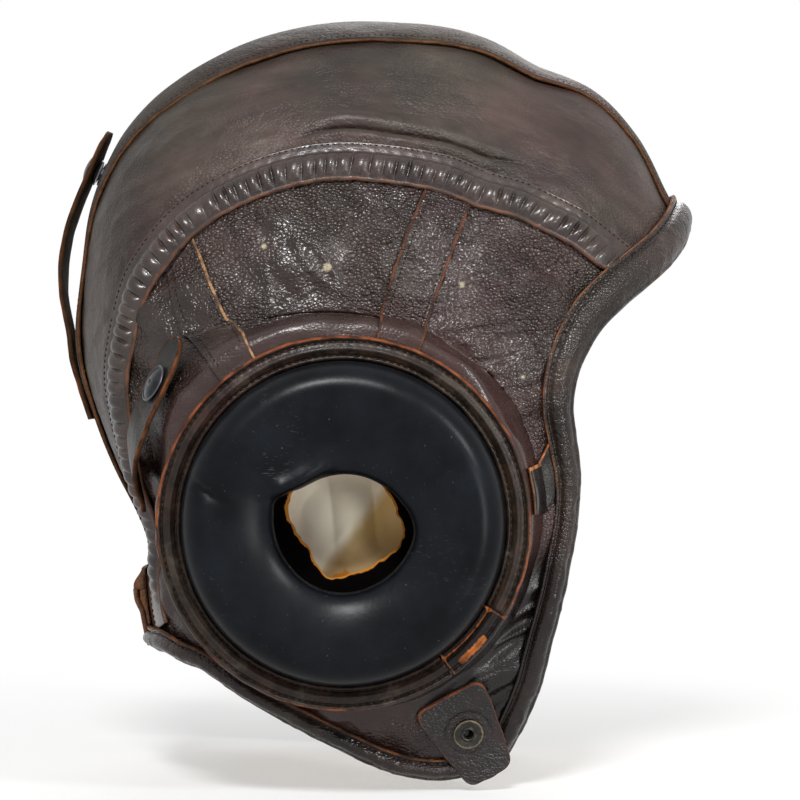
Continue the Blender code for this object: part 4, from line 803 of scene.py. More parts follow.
def chamoisFinish():
    # Soft napped skin: cream with tan clouds and tanner towards the lower front, painted lighter towards the
    # top and darker towards the bottom, painted near black on its outer face as shade, and raw orange at its
    # rim.
    made, tree, shader, where = newMaterial("softChamois")
    cloud = mapped(tree, noiseOf(tree, where, 26.0, 4.0, 0.6), 0.35, 0.68)
    x, _, z = splitVector(tree, where)
    slope = timesPlus(tree, z, -0.75, x)
    tanned = timesPlus(tree, cloud, 0.25, mapped(tree, slope, 0.0030, 0.0090, 0.0, 0.75))
    colour = mixed(tree, tanned, (0.80, 0.72, 0.57), (0.62, 0.41, 0.15))
    # Painted light: the skin is painted lighter towards the top and darker towards the bottom.
    paintedTopLight = mixed(tree, mapped(tree, z, -0.018, 0.006), (0.70, 0.70, 0.70), (1.22, 1.24, 1.28))
    colour = mixed(tree, 1.0, colour, paintedTopLight, "MULTIPLY")
    # Painted shade: the outer face, towards the shell, is painted near black for the dark recess behind the
    # ear hole.
    colour = mixed(tree, attributeOf(tree, "outer"), colour, (0.0016, 0.0010, 0.0008))
    frayed = timesPlus(tree, noiseOf(tree, where, 500.0, 3.0), 0.5, attributeOf(tree, "raw"))
    torn = vectorMath(tree, "DISTANCE", where, (-0.0010, -0.0740, -0.0196), "Value")
    torn = timesPlus(tree, noiseOf(tree, where, 420.0, 3.0), 0.005, torn)
    frayed = mapped(tree, frayed, 1.02, 1.16)
    frayed = maths(tree, "MAXIMUM", frayed, mapped(tree, torn, 0.0052, 0.0060, 1.0, 0.0))
    nap = timesPlus(tree, noiseOf(tree, where, 2200.0, 2.0), 0.4, noiseOf(tree, where, 260.0, 4.0))
    connect(
        tree, shader, nap, 0.5, 0.0003, Base_Color=mixed(tree, frayed, colour, (0.52, 0.20, 0.030)),
        Roughness=0.88, Specular_IOR_Level=0.05,
    )
    return made


def threadFinish():
    made, tree, shader, where = newMaterial("sewingThread")
    tone = mixed(tree, noiseOf(tree, where, 240.0, 3.0), (0.005, 0.0038, 0.003), (0.030, 0.021, 0.014))
    height = noiseOf(tree, where, 4000.0, 1.0)
    connect(tree, shader, height, 0.4, 0.0001, Base_Color=tone, Roughness=0.9, Specular_IOR_Level=0.03)
    return made


metals = dict(
    gunmetal=dict(
        dark=(0.010, 0.011, 0.014), light=(0.024, 0.026, 0.030), bright=(0.075, 0.075, 0.085), rough=0.24,
        metal=0.85,
    ),
    brass=dict(
        dark=(0.012, 0.0125, 0.011), light=(0.034, 0.031, 0.024), bright=(0.15, 0.115, 0.068), rough=0.34,
        metal=0.5,
    ),
)
finishes.update(rubber=rubberFinish(), chamois=chamoisFinish(), thread=threadFinish())
for metalName, metalLook in metals.items():
    finishes[metalName] = metalFinish(metalName + "Snap", metalLook)
print("finishes made")


# Surfaces that the pieces share: relief in metres on the side panel and on the crown


def stretched(points, direction, share):
    # Shortens the distance along a direction, so that noise on the result runs long that way.
    direction = unit(np.asarray(direction, float))
    return points - (1 - share) * (points @ direction)[..., None] * direction


def ridged(points, size, seed):
    # Rounded ridges between narrow valleys: 1 - 2 |noise|^0.8, from -1 to 1.
    return 1 - 2 * np.abs(latticeNoise(points, size, seed)) ** 0.8


relief = dict(
    swell=0.00150, swellSize=0.020, dimple=0.00065, dimpleSize=0.0075, fold=0.00265, foldSize=0.0125,
    ringRoll=0.0030, ringCrease=0.0006, crownSwell=0.00095, crownCrease=0.0021, gather=0.00050,
    # Wrinkled areas: first ear, ear, spread, radii, height, direction, shortening, size, seed.
    wrinkles=(
        (-90, 45, 26, (0.062, 0.072), 0.00080, (1, 0, 0.25), 0.22, 0.0034, 11),
        (-90, 98, 26, (0.064, 0.078), 0.00095, (0.65, 0, -0.75), 0.25, 0.0050, 12),
        (-90, 205, 40, (0.0615, 0.064), 0.00060, (0.3, 0, 1), 0.35, 0.0050, 13),
        (-90, 262, 34, (0.0615, 0.064), 0.00070, (1, 0, 0.1), 0.3, 0.0042, 14),
        (0, 318, 24, (0.062, 0.066), 0.00130, (0.84, 0, 0.54), 0.22, 0.0042, 16),
    ),
)


def panelRelief(points, ear, row):
    # Swell and dimples everywhere, wrinkles by area, and rolls round the top of the ear ring.
    r = relief
    radius = np.hypot(points[..., 0], points[..., 2])
    narrowed = points * (1, 0.6, 1)
    height = r["swell"] * latticeNoise(points, r["swellSize"], 3)
    height += r["dimple"] * latticeNoise(points, r["dimpleSize"], 4)
    for start, middle, spread, radii, high, direction, share, size, seed in r["wrinkles"]:
        area = bump((ear - start) % 360 + start, middle, spread) * smoothStep(radius, *radii)
        height += high * area * ridged(stretched(narrowed, direction, share), size, seed)
    wrapped = (ear + 90) % 360 - 90
    over = smoothStep(wrapped, 28, 55) * smoothStep(wrapped, 165, 140)
    wave = 0.0016 * latticeNoise(points * (1, 0, 1), 0.018, 5)
    roll = smoothStep(row, 0.06, 0.22) * smoothStep(row, 0.75, 0.30)
    height += (r["ringRoll"] + 0.5 * wave) * over * roll
    height -= r["ringCrease"] * over * bump(radius, 0.0664 + 0.8 * wave, 0.0026)
    folds = latticeNoise(stretched(narrowed, (0.78, 0, -0.62), 0.40), r["foldSize"], 15)
    height += r["fold"] * smoothStep(radius, 0.066, 0.078) * folds
    calm = 0.12 + 0.88 * smoothStep(row, 1.87, 1.66)
    return height * smoothStep(row, -0.05, 0.12) * calm


def panelSkin(ear, row, lift=0.0):
    # The side panel's outer face and its normal, raised by a lift.
    base, normal = sideFrame(ear, row)
    raised = leather["thick"] + panelRelief(base, ear, row) + lift
    return base + raised[..., None] * normal, normal


def crownRelief(points, archDistance):
    # Swell, a sharp fold that runs beside the arch seam, and gathers that fade away from it.
    r = relief
    x, y, z = np.moveaxis(points, -1, 0)
    height = r["crownSwell"] * latticeNoise(points, 0.030, 21) + 0.00018 * latticeNoise(points, 0.010, 22)
    ends = smoothStep(x, -0.020, 0.000) * smoothStep(x, 0.064, 0.046)
    away = archDistance - 0.0125 - 0.0018 * latticeNoise(points * (1, 0, 0), 0.020, 23)
    for share, middle, spread in ((-1, 0, 0.00065), (0.7, 0.0036, 0.0026), (0.5, -0.0030, 0.0020)):
        height += share * r["crownCrease"] * ends * bump(away, middle, spread)
    height += 0.0011 * ends * smoothStep(away, 0.0005, -0.0003) * smoothStep(away, -0.009, -0.001)
    drawn = np.stack([np.hypot(x, z), 0.014 * np.arctan2(z, x), 0.3 * y], -1)
    height += 0.00038 * latticeNoise(drawn, 0.0046, 26) * (0.6 + 0.8 * latticeNoise(points, 0.040, 27))
    height += r["gather"] * smoothStep(archDistance, 0.020, 0.006) * latticeNoise(points, 0.0048, 24)
    fine = 0.00020 * smoothStep(x, -0.010, -0.030)
    return height + fine * ridged(stretched(points, (1, 0, 0.6), 0.4), 0.0060, 25)


# Side panels

panel = dict(ears=430, drumRows=(-1, -0.55, -0.15), shoulderRows=38, fieldRows=72, edgeGap=0.0003)


def panelRows():
    p = panel
    shoulder = np.linspace(0, 1, p["shoulderRows"])
    field = 1 + np.linspace(0, 1, p["fieldRows"] + 1)[1:]
    return np.concatenate([p["drumRows"], shoulder, field])


def sidePanelMesh():
    browEar = head["cornerEars"][0]
    ears = browEar + np.linspace(0, 360, panel["ears"], endpoint=False)
    ear, row = np.meshgrid(ears, panelRows(), indexing="ij")
    outer, normal = panelSkin(ear, row)
    outer[:, -1] += panel["edgeGap"] * unit(outer[:, -2] - outer[:, -1])
    return sheetMesh("sidePanel", outer, normal, leather["thick"], closed=True)


addPair("side_panel", sidePanelMesh(), "side", node="side_panel")
print("side panels made")


# Crown panels and the strip over the middle

strip = dict(
    lap=0.006, halfWidth=0.034, tuck=0.003, stations=430, columns=60,
    widthShares=(
        (40, 0.56), (50, 0.60), (60, 0.74), (72, 0.86), (84, 0.94), (100, 1.0), (112, 0.97),
        (121, 0.82), (140, 0.58), (165, 0.42), (215, 0.40),
    ),
)
crown = dict(stations=470, rows=92, cadStations=24)


def stripHalf(degrees):
    return strip["halfWidth"] * atTable(strip["widthShares"], degrees)


stripKnots = np.linspace(head["brow"][1][0], head["nape"][-1][0] + 360, 24)
stripInner = evenCurve(np.stack([stripKnots, outAtWidth(stripHalf(stripKnots) - strip["lap"])], -1))


def crownPairs(shares, ups):
    # Straight angle pairs from the arch to the strip's lap; the end columns follow the brow and nape edges.
    low = along(arch, shares)[:, None]
    degrees = along(stripInner, shares)[:, 0]
    high = np.stack([degrees, outAtWidth(stripHalf(degrees) - strip["lap"])], -1)[:, None]
    pairs = low + ups[None, :, None] * (high - low)
    for end, edge, turn in ((0, brow, 0), (1, nape, 360)):
        order = np.argsort(edge[:, 1])
        column = pairs[0 if end == 0 else -1]
        wanted = np.interp(column[:, 1], edge[order, 1], edge[order, 0]) + turn
        near = np.clip(1 - np.abs(shares - end) * crown["cadStations"], 0, 1)[:, None]
        pairs[..., 0] += near * (wanted - column[:, 0])[None]
    return pairs


def crownSkin(pairs, archDistance):
    base = formPoint(pairs[..., 0], pairs[..., 1])
    normal = formNormal(base)
    raised = leather["thick"] + crownRelief(base, archDistance)
    return base + raised[..., None] * normal, normal


def crownPanelMesh():
    c = crown
    shares = np.linspace(0, 1, c["stations"])
    half = c["rows"] // 2
    ups = np.concatenate([np.linspace(0, 0.22, half), np.linspace(0.22, 1, c["rows"] - half + 1)[1:]])
    pairs = crownPairs(shares, ups)
    flat = formPoint(pairs[..., 0], pairs[..., 1])
    distance = np.linalg.norm(flat - flat[:, :1], axis=-1)
    outer, normal = crownSkin(pairs, distance)
    outer[:, 0] += panel["edgeGap"] * unit(outer[:, 1] - outer[:, 0])
    return sheetMesh("crownPanel", outer, normal, leather["thick"])


def stripSkin(degrees, width, lift=0.0):
    # The strip's outer face at a signed width from the middle plane, laid on the crown panels at its edges.
    side = np.sign(width) + (width == 0)
    base = formPoint(degrees, outAtWidth(np.abs(width)))
    base[..., 1] *= -side
    normal = formNormal(base)
    wave = 0.0005 * latticeNoise(base, 0.028, 31) + 0.00014 * latticeNoise(base, 0.009, 32)
    inside = smoothStep(stripHalf(degrees) - np.abs(width), 0, 0.004)
    raised = crownLift + leather["trim"] + wave * inside + lift
    return base + raised[..., None] * normal, normal


def crownStripMesh():
    s = strip
    tuck = s["tuck"] / curveLength(stripInner)
    degrees = along(stripInner, np.linspace(tuck, 1 - tuck, s["stations"]))[:, 0]
    even = np.linspace(-1, 1, s["columns"])
    across = 0.35 * np.sin(math.pi / 2 * even) + 0.65 * even
    half = stripHalf(degrees)[:, None]
    ragged = 0.00025 * latticeNoise(np.stack([degrees / 6, degrees * 0, degrees * 0], -1), 0.3, 33)[:, None]
    grid = np.broadcast_to(degrees[:, None], (s["stations"], s["columns"]))
    outer, normal = stripSkin(grid, (half + ragged) * across[None])
    return sheetMesh("crownStrip", outer, normal, leather["trim"])


addPair("crown_panel", crownPanelMesh(), "crown", node="crown_panel")
addPiece("crown_strip_look", crownStripMesh(), "strip", "shell", ["crown_strip"])
print("crown made")


# Arch bands: a puckered roll beside a flat flange that is sewn along its upper edge

band = dict(
    width=0.0130, bulge=0.0026, tuck=0.0065, fade=0.016, stations=1200, columns=34, rollCentre=-0.22,
    rollHalf=0.62, pucker=0.0044, puckerDepth=0.00170, stitchRow=0.88,
)


def lineFrames(curve, shares):
    # Places on a curve and the directions across it.
    places = formPoint(*along(curve, shares).T)
    ahead = unit(np.gradient(places, axis=0))
    return places, unit(np.cross(ahead, formNormal(places)))


def archSkin(shares, across):
    # Height over the crown: flat leather plus a half round roll, cut by puckers that lean along the band.
    b = band
    places, side = lineFrames(arch, shares)
    length = curveLength(arch)
    run = (shares * length)[:, None]
    v = across[None] + 0 * run
    fromEnd = np.minimum(shares, 1 - shares)[:, None] * length - 0.0115
    full = np.clip(fromEnd / b["fade"], 0, 1)
    offset = (v - b["rollCentre"]) / b["rollHalf"]
    roll = np.sqrt(np.clip(1 - offset**2, 0, 1)) ** 1.1
    line = np.concatenate([run, run * 0, run * 0], -1)
    jitter, sway, inset = (
        share * latticeNoise(line, size, seed)[:, None]
        for share, size, seed in ((0.30, 0.011, 41), (0.15, 0.02, 42), (0.00020, 0.0035, 44))
    )
    phase = run / b["pucker"] + jitter
    valley = np.abs(np.sin(math.pi * (phase + (0.22 + sway) * v))) ** 0.62
    uneven = latticeNoise(np.stack([run + 0 * v, v * 0.01, v * 0], -1), 0.008, 43)
    depth = b["puckerDepth"] * (0.75 + 0.35 * uneven)
    raised = full * roll * (b["bulge"] * 0.92 - depth * (1 - valley) * 1.15)
    flange = smoothStep(v, 0.45, 0.6) * smoothStep(v, 1, 0.7)
    raised = raised + full * flange * 0.00005 * np.cos(2 * math.pi * phase)
    raised = raised - 0.00010 * full * bump(v, b["stitchRow"], 0.09)
    low = smoothStep(v, -0.6, -1.0) * (inset - 0.0002)
    points = places[:, None] + (v * b["width"] / 2 + low)[..., None] * side[:, None]
    height = crownLift + leather["overlay"] + leather["trim"] + raised
    base, normal = draped(points)
    return base + height[..., None] * normal, normal, height


def archBandMesh():
    b = band
    tuck = b["tuck"] / curveLength(arch)
    shares = np.linspace(tuck, 1 - tuck, b["stations"])
    across = np.linspace(-1, 1, b["columns"])
    outer, normal, height = archSkin(shares, across)
    thick = height - crownLift - leather["overlay"]
    raw = smoothStep(across, -0.86, -0.97) * 0.9
    raw = raw + bump(across, 0.97, 0.09) * 0.50 + bump(across, 0.50, 0.08) * 0.42
    return sheetMesh("archBand", outer, normal, thick, raw=raw[None])


addPair("arch_band", archBandMesh(), "band", node="arch_band")
print("arch bands made")


# Bindings: sections that lie on the shell, roll round its edge and return under it

binding = dict(
    roll=0.0022, crown=0.0020, clearance=0.0005, depth=0.0010, leg=0.0055, faceWidth=0.0115,
    faceShares=((0, 1.0), (0.35, 1.0), (0.5, 0.80), (0.62, 0.62), (0.8, 0.66), (1, 0.76)),
    neckWidth=0.0062, jointGap=0.0006, stepShares=(0.9, 1.8), pitch=0.00085, rollShare=0.80, flatRows=24,
    rollRows=14, legRows=5,
)


def tubeMesh(name, loops, raw=None):
    # Closed sections joined one to the next: a ring without raw values, or a run with a fan over each end.
    count, size = loops.shape[:2]
    quads, _ = loopQuads(count, size, raw is None)
    if raw is None:
        return meshFromArrays(name, loops.reshape(-1, 3), quads)
    points = np.concatenate([loops.reshape(-1, 3), loops[[0, -1]].mean(1)])
    j = np.arange(size)
    k, whole, last = (j + 1) % size, np.full(size, count * size), (count - 1) * size
    fans = [np.stack([j, k, whole], -1), np.stack([last + k, last + j, whole + 1], -1)]
    return meshFromArrays(name, points, quads, np.concatenate(fans), raw=np.append(raw, (1, 1)))


def bindingSection():
    # Rows of (across share of the width, across metres, height share of the lift, height metres, free, raw).
    b, trim = binding, leather["trim"]
    bottom = -b["depth"] - trim
    rows = []
    for share in np.linspace(1, 0, b["flatRows"]):
        swollen = math.sin(math.pi * min(share / b["rollShare"], 1)) ** 0.8
        groove = 0.0008 * math.exp(-(((share - b["rollShare"]) / 0.05) ** 2))
        rows.append((share, 0, 1, trim + b["crown"] * swollen - groove, 0, max(share - 0.9, 0) * 7))
    turns = np.linspace(0, math.pi, b["rollRows"] + 2)[1:-1]
    for turn in turns:
        half = (1 + math.cos(turn)) / 2
        rows.append((0, -b["roll"] * math.sin(turn), half, half * trim + (1 - half) * bottom, 1, 0))
    for share in np.linspace(0, 1, b["legRows"]):
        rows.append((0, share * b["leg"], 0, bottom, 0, 0))
    for share in np.linspace(1, 0, 3):
        rows.append((0, share * b["leg"] - (1 - share) * b["clearance"], 0, -b["depth"], 0, 0))
    rows.append((0, -b["clearance"], 1, 0, 0, 0))
    for share in np.linspace(0.25, 1, 4):
        rows.append((share, 0, 1, 0, 0, max(share - 0.9, 0) * 10))
    return np.array(rows, float)


def bindingRuns(curves, endGap):
    # Even stations along joined curves, with the run so far, then their mirror image led on from them.
    places, runs, passed = [], [], 0.0
    for curve in curves:
        length = curveLength(curve)
        count = int(length / binding["pitch"])
        shares = np.linspace(0, 1, count, endpoint=False)
        places.append(along(curve, shares))
        runs.append(passed + shares * length)
        passed += length
    pairs, run = np.concatenate(places), np.concatenate(runs)
    keep = run < passed - endGap
    return formPoint(*pairs[keep].T), run[keep], passed


def bindingLoops(curves, widthAt, raisedRun, endGap, seed, flip):
    b = binding
    places, run, whole = bindingRuns(curves, endGap)
    places = np.concatenate([places[:0:-1] * (1, -1, 1), places])
    run = np.concatenate([run[:0:-1], run])
    ahead = unit(np.gradient(places, axis=0))
    normals = formNormal(places)
    side = unit(np.cross(ahead, normals)) * (-1 if flip else 1)
    low, high = (share * band["width"] for share in b["stepShares"])
    over = 1 - smoothStep(run - raisedRun, low, high)
    lift = crownLift + (bandOverLift - crownLift) * over
    rows = bindingSection()
    width = widthAt(run / whole)
    across = rows[None, :, 0] * width[:, None] + rows[None, :, 1]
    height = rows[None, :, 2] * lift[:, None] + rows[None, :, 3]
    top = (rows[:, 2] > 0.4) & (rows[:, 3] > 0.0005)
    flat = places[:, None] + across[..., None] * side[:, None]
    strength = 0.00022 + 0.00018 * smoothStep(run / whole, 0.45, 0.6)[:, None]
    waves = strength * ridged(flat, 0.0045, seed) + 0.00025 * latticeNoise(flat, 0.012, seed + 1)
    height = height + top[None] * waves * np.clip(1.15 - rows[None, :, 0], 0.1, 1)
    base, normal = draped(flat)
    laid = base + height[..., None] * normal
    straight = flat + height[..., None] * normals[:, None]
    loops = np.where(rows[None, :, 4, None] > 0.5, straight, laid)
    browEdge = bump(np.arange(len(rows)), b["flatRows"] + 2, 1.6)[:, None]
    browEdge = 0.62 * smoothStep(run - raisedRun, 0.010, 0.0) * browEdge
    faded = 1 - (0 if flip else 0.9) * smoothStep(run / whole, 0.57, 0.63)[:, None]
    raw = np.broadcast_to(rows[None, :, 5] * faded, loops.shape[:2])
    raw = np.maximum(raw, 0 if flip else browEdge.T)
    return loops, raw, normals, width


def faceWidth(share):
    return binding["faceWidth"] * atTable(binding["faceShares"], share)


browLength, napeLength = curveLength(brow), curveLength(nape)
faceLoops = bindingLoops((brow, cheek), faceWidth, browLength, 0, 51, False)
neckEnd = float(faceWidth(1.0)) + binding["jointGap"]
neckLoops = bindingLoops(
    (nape[::-1], jaw[::-1]), lambda share: binding["neckWidth"] + 0 * share, napeLength, neckEnd, 55, True
)
faceMesh = tubeMesh("faceBand", *faceLoops[:2])
neckMesh = tubeMesh("neckBand", *neckLoops[:2])
addPiece("face_band_look", faceMesh, "trim", "shell", ["face_band"])
addPiece("neck_band_look", neckMesh, "trim", "shell", ["neck_band"])
print("bindings made")


# Tapes and patches laid over the side panel

tape = dict(thick=0.0007, rows=110, columns=26, tuck=0.0016, ragged=0.00022)
ring = dict(
    inner=0.0520, outer=0.0600, base=drum["height"] + leather["thick"] + leather["gap"], thick=0.0014,
    patchDegrees=(-54, -30), joint=0.6, columns=30, needleShares=(0.76, 0.20), pucker=0.00010,
    # Share across the ring, spread and height of each ridge and needle row.
    ridges=((0.46, 0.12, 0.00070), (0.90, 0.05, 0.00040), (0.76, 0.038, -0.00080), (0.20, 0.038, -0.00075)),
)
tapes = dict(
    front_tape=dict(ring=(66, 80), arch=(67.2, 75.4), raw=(1.0, 1.0), finish="side"),
    rear_tape=dict(ring=(118, 131), arch=(116.7, 124.2), raw=(1.0, 0.45), finish="rearTape"),
)


def rowsAtRadius(ears, radius):
    # The panel row at which each ear ray passes a radius, read off a table of rows.
    rows = np.linspace(0, 2, 220)
    grid = sidePoint(ears[:, None], rows[None, :])
    radii = np.hypot(grid[..., 0], grid[..., 2])
    return np.array([np.interp(radius, line, rows) for line in radii])


def rowsShortOf(ears, places, distance):
    # The last panel row on each ear ray that stays a distance from a line of places.
    rows = np.linspace(1.2, 2, 240)
    grid = sidePoint(ears[:, None], rows[None, :])
    gap = np.linalg.norm(grid[:, :, None] - places[None, None], axis=-1).min(-1)
    far = gap > distance
    return rows[np.maximum(len(rows) - 1 - np.argmax(far[:, ::-1], axis=1), 0)]


def overlayMesh(name, lowEars, highEars, line, distance, raw, columns, rows, thick):
    # A strip whose ear angle goes evenly with radius from the ring's edge to the line.
    sides = np.linspace(0, 1, columns)
    low = lowEars[0] + sides * (lowEars[1] - lowEars[0])
    high = highEars[0] + sides * (highEars[1] - highEars[0])
    first = rowsAtRadius(low, ring["outer"] - tape["tuck"])
    last = rowsShortOf(high, line, distance)
    share = np.linspace(0, 1, rows)
    row = first[:, None] + share[None] * (last - first)[:, None]
    coarse = sidePoint(low[:, None] + share[None] * (high - low)[:, None], row)
    radius = np.hypot(coarse[..., 0], coarse[..., 2])
    part = (radius - radius[:, :1]) / (radius[:, -1:] - radius[:, :1])
    ear = low[:, None] + part * (high - low)[:, None]
    wander = tape["ragged"] * latticeNoise(coarse * (1, 0, 1), 0.0045, 61) / radius * 57.3
    ear = ear + wander * (smoothStep(sides, 0.2, 0) + smoothStep(sides, 0.8, 1))[:, None]
    outer, normal = panelSkin(ear, row, leather["seat"] + leather["overlay"] + thick)
    edges = smoothStep(sides, 0.11, 0.02) * raw[0] + smoothStep(sides, 0.89, 0.98) * raw[1]
    return sheetMesh(name, outer, normal, thick, raw=np.clip(0.9 * edges, 0, 1)[:, None])


archPlaces = formPoint(*arch[::2].T)
edgePlaces = np.concatenate([formPoint(*curve[::2].T) for curve in (brow, cheek, jaw, nape)])
for tapeName, tapeLook in tapes.items():
    highEars = [float(earAtArch(degrees)) for degrees in tapeLook["arch"]]
    tapeMesh = overlayMesh(
        tapeName, tapeLook["ring"], highEars, archPlaces, band["width"] / 2 + 0.0006, tapeLook["raw"],
        tape["columns"], tape["rows"], tape["thick"],
    )
    addPair(tapeName, tapeMesh, tapeLook["finish"], node=tapeName)
patchMesh = overlayMesh(
    "cheek_patch", (2.5, 16.5), (2.5, 16.5), edgePlaces, float(faceWidth(0.62)) + 0.0009, (0.25, 1.0), 34, 40,
    0.0011,
)
addPair("cheek_patch", patchMesh, "cheekPatch", node="cheek_patch")
lowTape = overlayMesh(
    "low_tape", (-127, -113), (-124, -112), edgePlaces, binding["neckWidth"] + 0.0006, (0.5, 0.5), 18, 40,
    0.0007,
)
addPair("low_tape", lowTape, "rearTape")
print("tapes and patches made")


# Ear rings


def ringLoops(first, last, pitchDegrees):
    # A sewn strip: needle rows sunk near both edges, a worn ridge between them and puckers across.
    degrees = np.linspace(first, last, max(int(abs(last - first) / pitchDegrees), 4))
    ears, outward = np.radians(degrees), earDirection(degrees)[:, None]
    across = np.linspace(0, 1, ring["columns"])
    place = (ring["inner"] + across * (ring["outer"] - ring["inner"]))[None, :, None] * outward
    height = ring["thick"] + 0.00045 * np.sin(math.pi * across)[None] ** 0.7
    for middle, spread, high in ring["ridges"]:
        height = height + high * bump(across, middle, spread)
    waver = 2.2 * latticeNoise(place, 0.012, 71)
    pucker = np.sin(2 * math.pi * ears[:, None] * ring["outer"] / 0.0031 + waver)
    rows = sum(bump(across, share, 0.12) for share in ring["needleShares"])
    height = height + ring["pucker"] * pucker * rows
    height = height + 0.00025 * latticeNoise(place, 0.012, 72) + 0.00007 * latticeNoise(place, 0.0035, 73)
    droop = smoothStep(across, 0.93, 1.0) * 0.0006 + smoothStep(across, 0.07, 0.0) * 0.0004
    ragged = 0.00022 * latticeNoise(place[:, -1:], 0.0035, 74) * smoothStep(across, 0.6, 1.0)[None]
    top = place + ragged[..., None] * outward
    top[..., 1] = -(ring["base"] + height - droop)
    bottom = place[:, ::-3].copy()
    bottom[..., 1] = -ring["base"]
    loops = np.concatenate([top, bottom], axis=1)
    # Wear is strongest over the top and front of the ring, where the photograph shows bare fibres.
    worn = 0.62 + 0.30 * latticeNoise(place[:, :1], 0.016, 75) + 0.30 * np.cos(ears - 1.9)[:, None]
    rawTop = (smoothStep(across, 0.84, 0.95)[None] + 0.12 * bump(across, 0.46, 0.14)) * worn
    raw = np.concatenate([rawTop, np.full(bottom.shape[:2], 0.6)], axis=1)
    return loops, np.clip(raw, 0, 1)


lowPatch, highPatch = ring["patchDegrees"]
fullRing, fullRaw = ringLoops(highPatch + ring["joint"], lowPatch + 360 - ring["joint"], 0.55)
patchRing, patchRaw = ringLoops(lowPatch, highPatch, 0.5)
alongPatch = np.linspace(0, 1, len(patchRaw))[:, None]
acrossPatch = np.linspace(0, 1, ring["columns"])[None]
bare = smoothStep(alongPatch, 0.10, 0.20) * smoothStep(alongPatch, 0.72, 0.60) * bump(acrossPatch, 0.72, 0.20)
fringe = bump(acrossPatch, 0.22, 0.07) + bump(alongPatch, 0.98, 0.03) + bump(alongPatch, 0.02, 0.02)
patchTop = patchRaw[:, : ring["columns"]]
patchTop[:] = np.clip(0.4 * patchTop + 0.88 * bare + 0.68 * fringe, 0, 1)
addPair("ear_ring", tubeMesh("earRing", fullRing, fullRaw), "ring", node="ear_ring")
ringPatchMesh = tubeMesh("ringPatch", patchRing, patchRaw)
addPair("ring_patch", ringPatchMesh, "patch", node="ring_patch")
print("ear rings made")


# Rubber cups

cup = dict(
    radius=0.0517, height=0.0155, wall=0.0026, flange=0.0021, flangeRadius=0.0562, crestShare=0.70,
    riseShare=0.62, hole=0.0220, lipDrop=0.0075, sides=260, lipBead=0.0010,
    holeShares=(
        (-8, 1.03), (8, 0.97), (21, 0.89), (50, 0.78), (83, 0.725), (115, 0.73), (138, 0.79), (152, 0.93),
        (161, 1.03), (172, 1.02), (188, 1.0), (215, 0.985), (260, 1.0), (300, 0.99), (330, 1.01),
    ),
    dentPlace=(-0.0435, 0.0115), dentDirection=(0.55, 0.83), dent=0.0024, ridgePlace=(-0.0217, 0.0080),
    ridgeDirection=(0.868, 0.496), ridge=0.0038, cornerPlace=(-0.0212, 0.0105), corner=0.0012, waver=0.0004,
)


def turnedFrom(x, z, place, direction):
    # Distances from a place along a direction and across it.
    right, up = x - place[0], z - place[1]
    return right * direction[0] + up * direction[1], up * direction[0] - right * direction[1]


def cupLoops():
    # Quarter ellipses from the foot up to the crest and from the crest down to the lip, then a wall inside.
    c = cup
    base = drum["height"] - leather["gap"]
    crest = c["hole"] + c["crestShare"] * (c["radius"] - c["hole"])
    top = base + c["height"] + leather["thick"]
    rise = c["riseShare"] * (top - base)
    outside = c["radius"] - leather["gap"]
    foot = [(c["flangeRadius"], base - c["flange"]), (c["flangeRadius"], base), (c["radius"] + 0.0009, base)]
    foot += [(outside, base + 0.0006), (outside, (base + top - rise) / 2)]
    turns = np.linspace(0, math.pi / 2, 20)
    climb = [(crest + (c["radius"] - crest) * math.cos(t), top - rise + rise * math.sin(t)) for t in turns]
    lip = top - c["lipDrop"]
    fall = [(crest - (crest - c["hole"]) * math.sin(t), lip + c["lipDrop"] * math.cos(t)) for t in turns[1:]]
    bead = c["lipBead"]
    turned = np.linspace(0.3, 2.9, 6)
    edge = [
        (c["hole"] + bead * (0.15 * (1 - math.cos(t)) - 0.3 * math.sin(t)), lip - bead * (1 - math.cos(t)))
        for t in turned
    ]
    inner = []
    for radius, height in (climb + fall)[-4:0:-2]:
        inner.append((radius, height) + c["wall"] * unit(np.array([crest - radius, base - height])))
    inner.append((c["radius"] - c["wall"], base - c["flange"]))
    profile = np.array(foot + climb + fall + edge + inner)
    turn = np.linspace(0, 2 * math.pi, c["sides"], endpoint=False)[:, None]
    radius, height = profile.T[:, None]
    near = np.clip((crest - radius) / (crest - c["hole"]), 0, 1)
    shares = smoothTable(c["holeShares"], np.degrees(turn), 360)
    radius = radius * (1 + (shares - 1) * near**2)
    x, z = radius * np.cos(turn), radius * np.sin(turn)
    wave = np.stack([x, 0 * x, z], -1)
    height = height + c["waver"] * latticeNoise(wave, 0.022, 81) * (radius < c["radius"])
    # A dent presses the foot of the crest at the upper back, with a crease beside it and a raised corner.
    across, beyond = turnedFrom(x, z, c["dentPlace"], c["dentDirection"])
    dent = np.exp(-np.clip(-across, 0, 1) / 0.0045 - (beyond / 0.0055) ** 2)
    height = height - c["dent"] * smoothStep(across, 0.0010, -0.0004) * dent * (height > base + 0.001)
    onward, beside = turnedFrom(x, z, c["ridgePlace"], c["ridgeDirection"])
    ridge = smoothStep(onward, -0.003, 0.005) * smoothStep(onward, 0.026, 0.010)
    ridge = ridge * np.exp(-((beside / np.where(beside > 0, 0.0046, 0.0014)) ** 2))
    corner = bump(x, c["cornerPlace"][0], 0.0035) * bump(z, c["cornerPlace"][1], 0.0040)
    height = height + c["ridge"] * ridge + c["corner"] * corner * near
    return np.stack([x, -height, z], -1)


addPair("rubber_cup", tubeMesh("rubberCup", cupLoops()), "rubber", node="rubber_cup")
print("cups made")


# Lining: chamois inside each half, a fan of rays from a ragged ear hole to the middle and the free edge

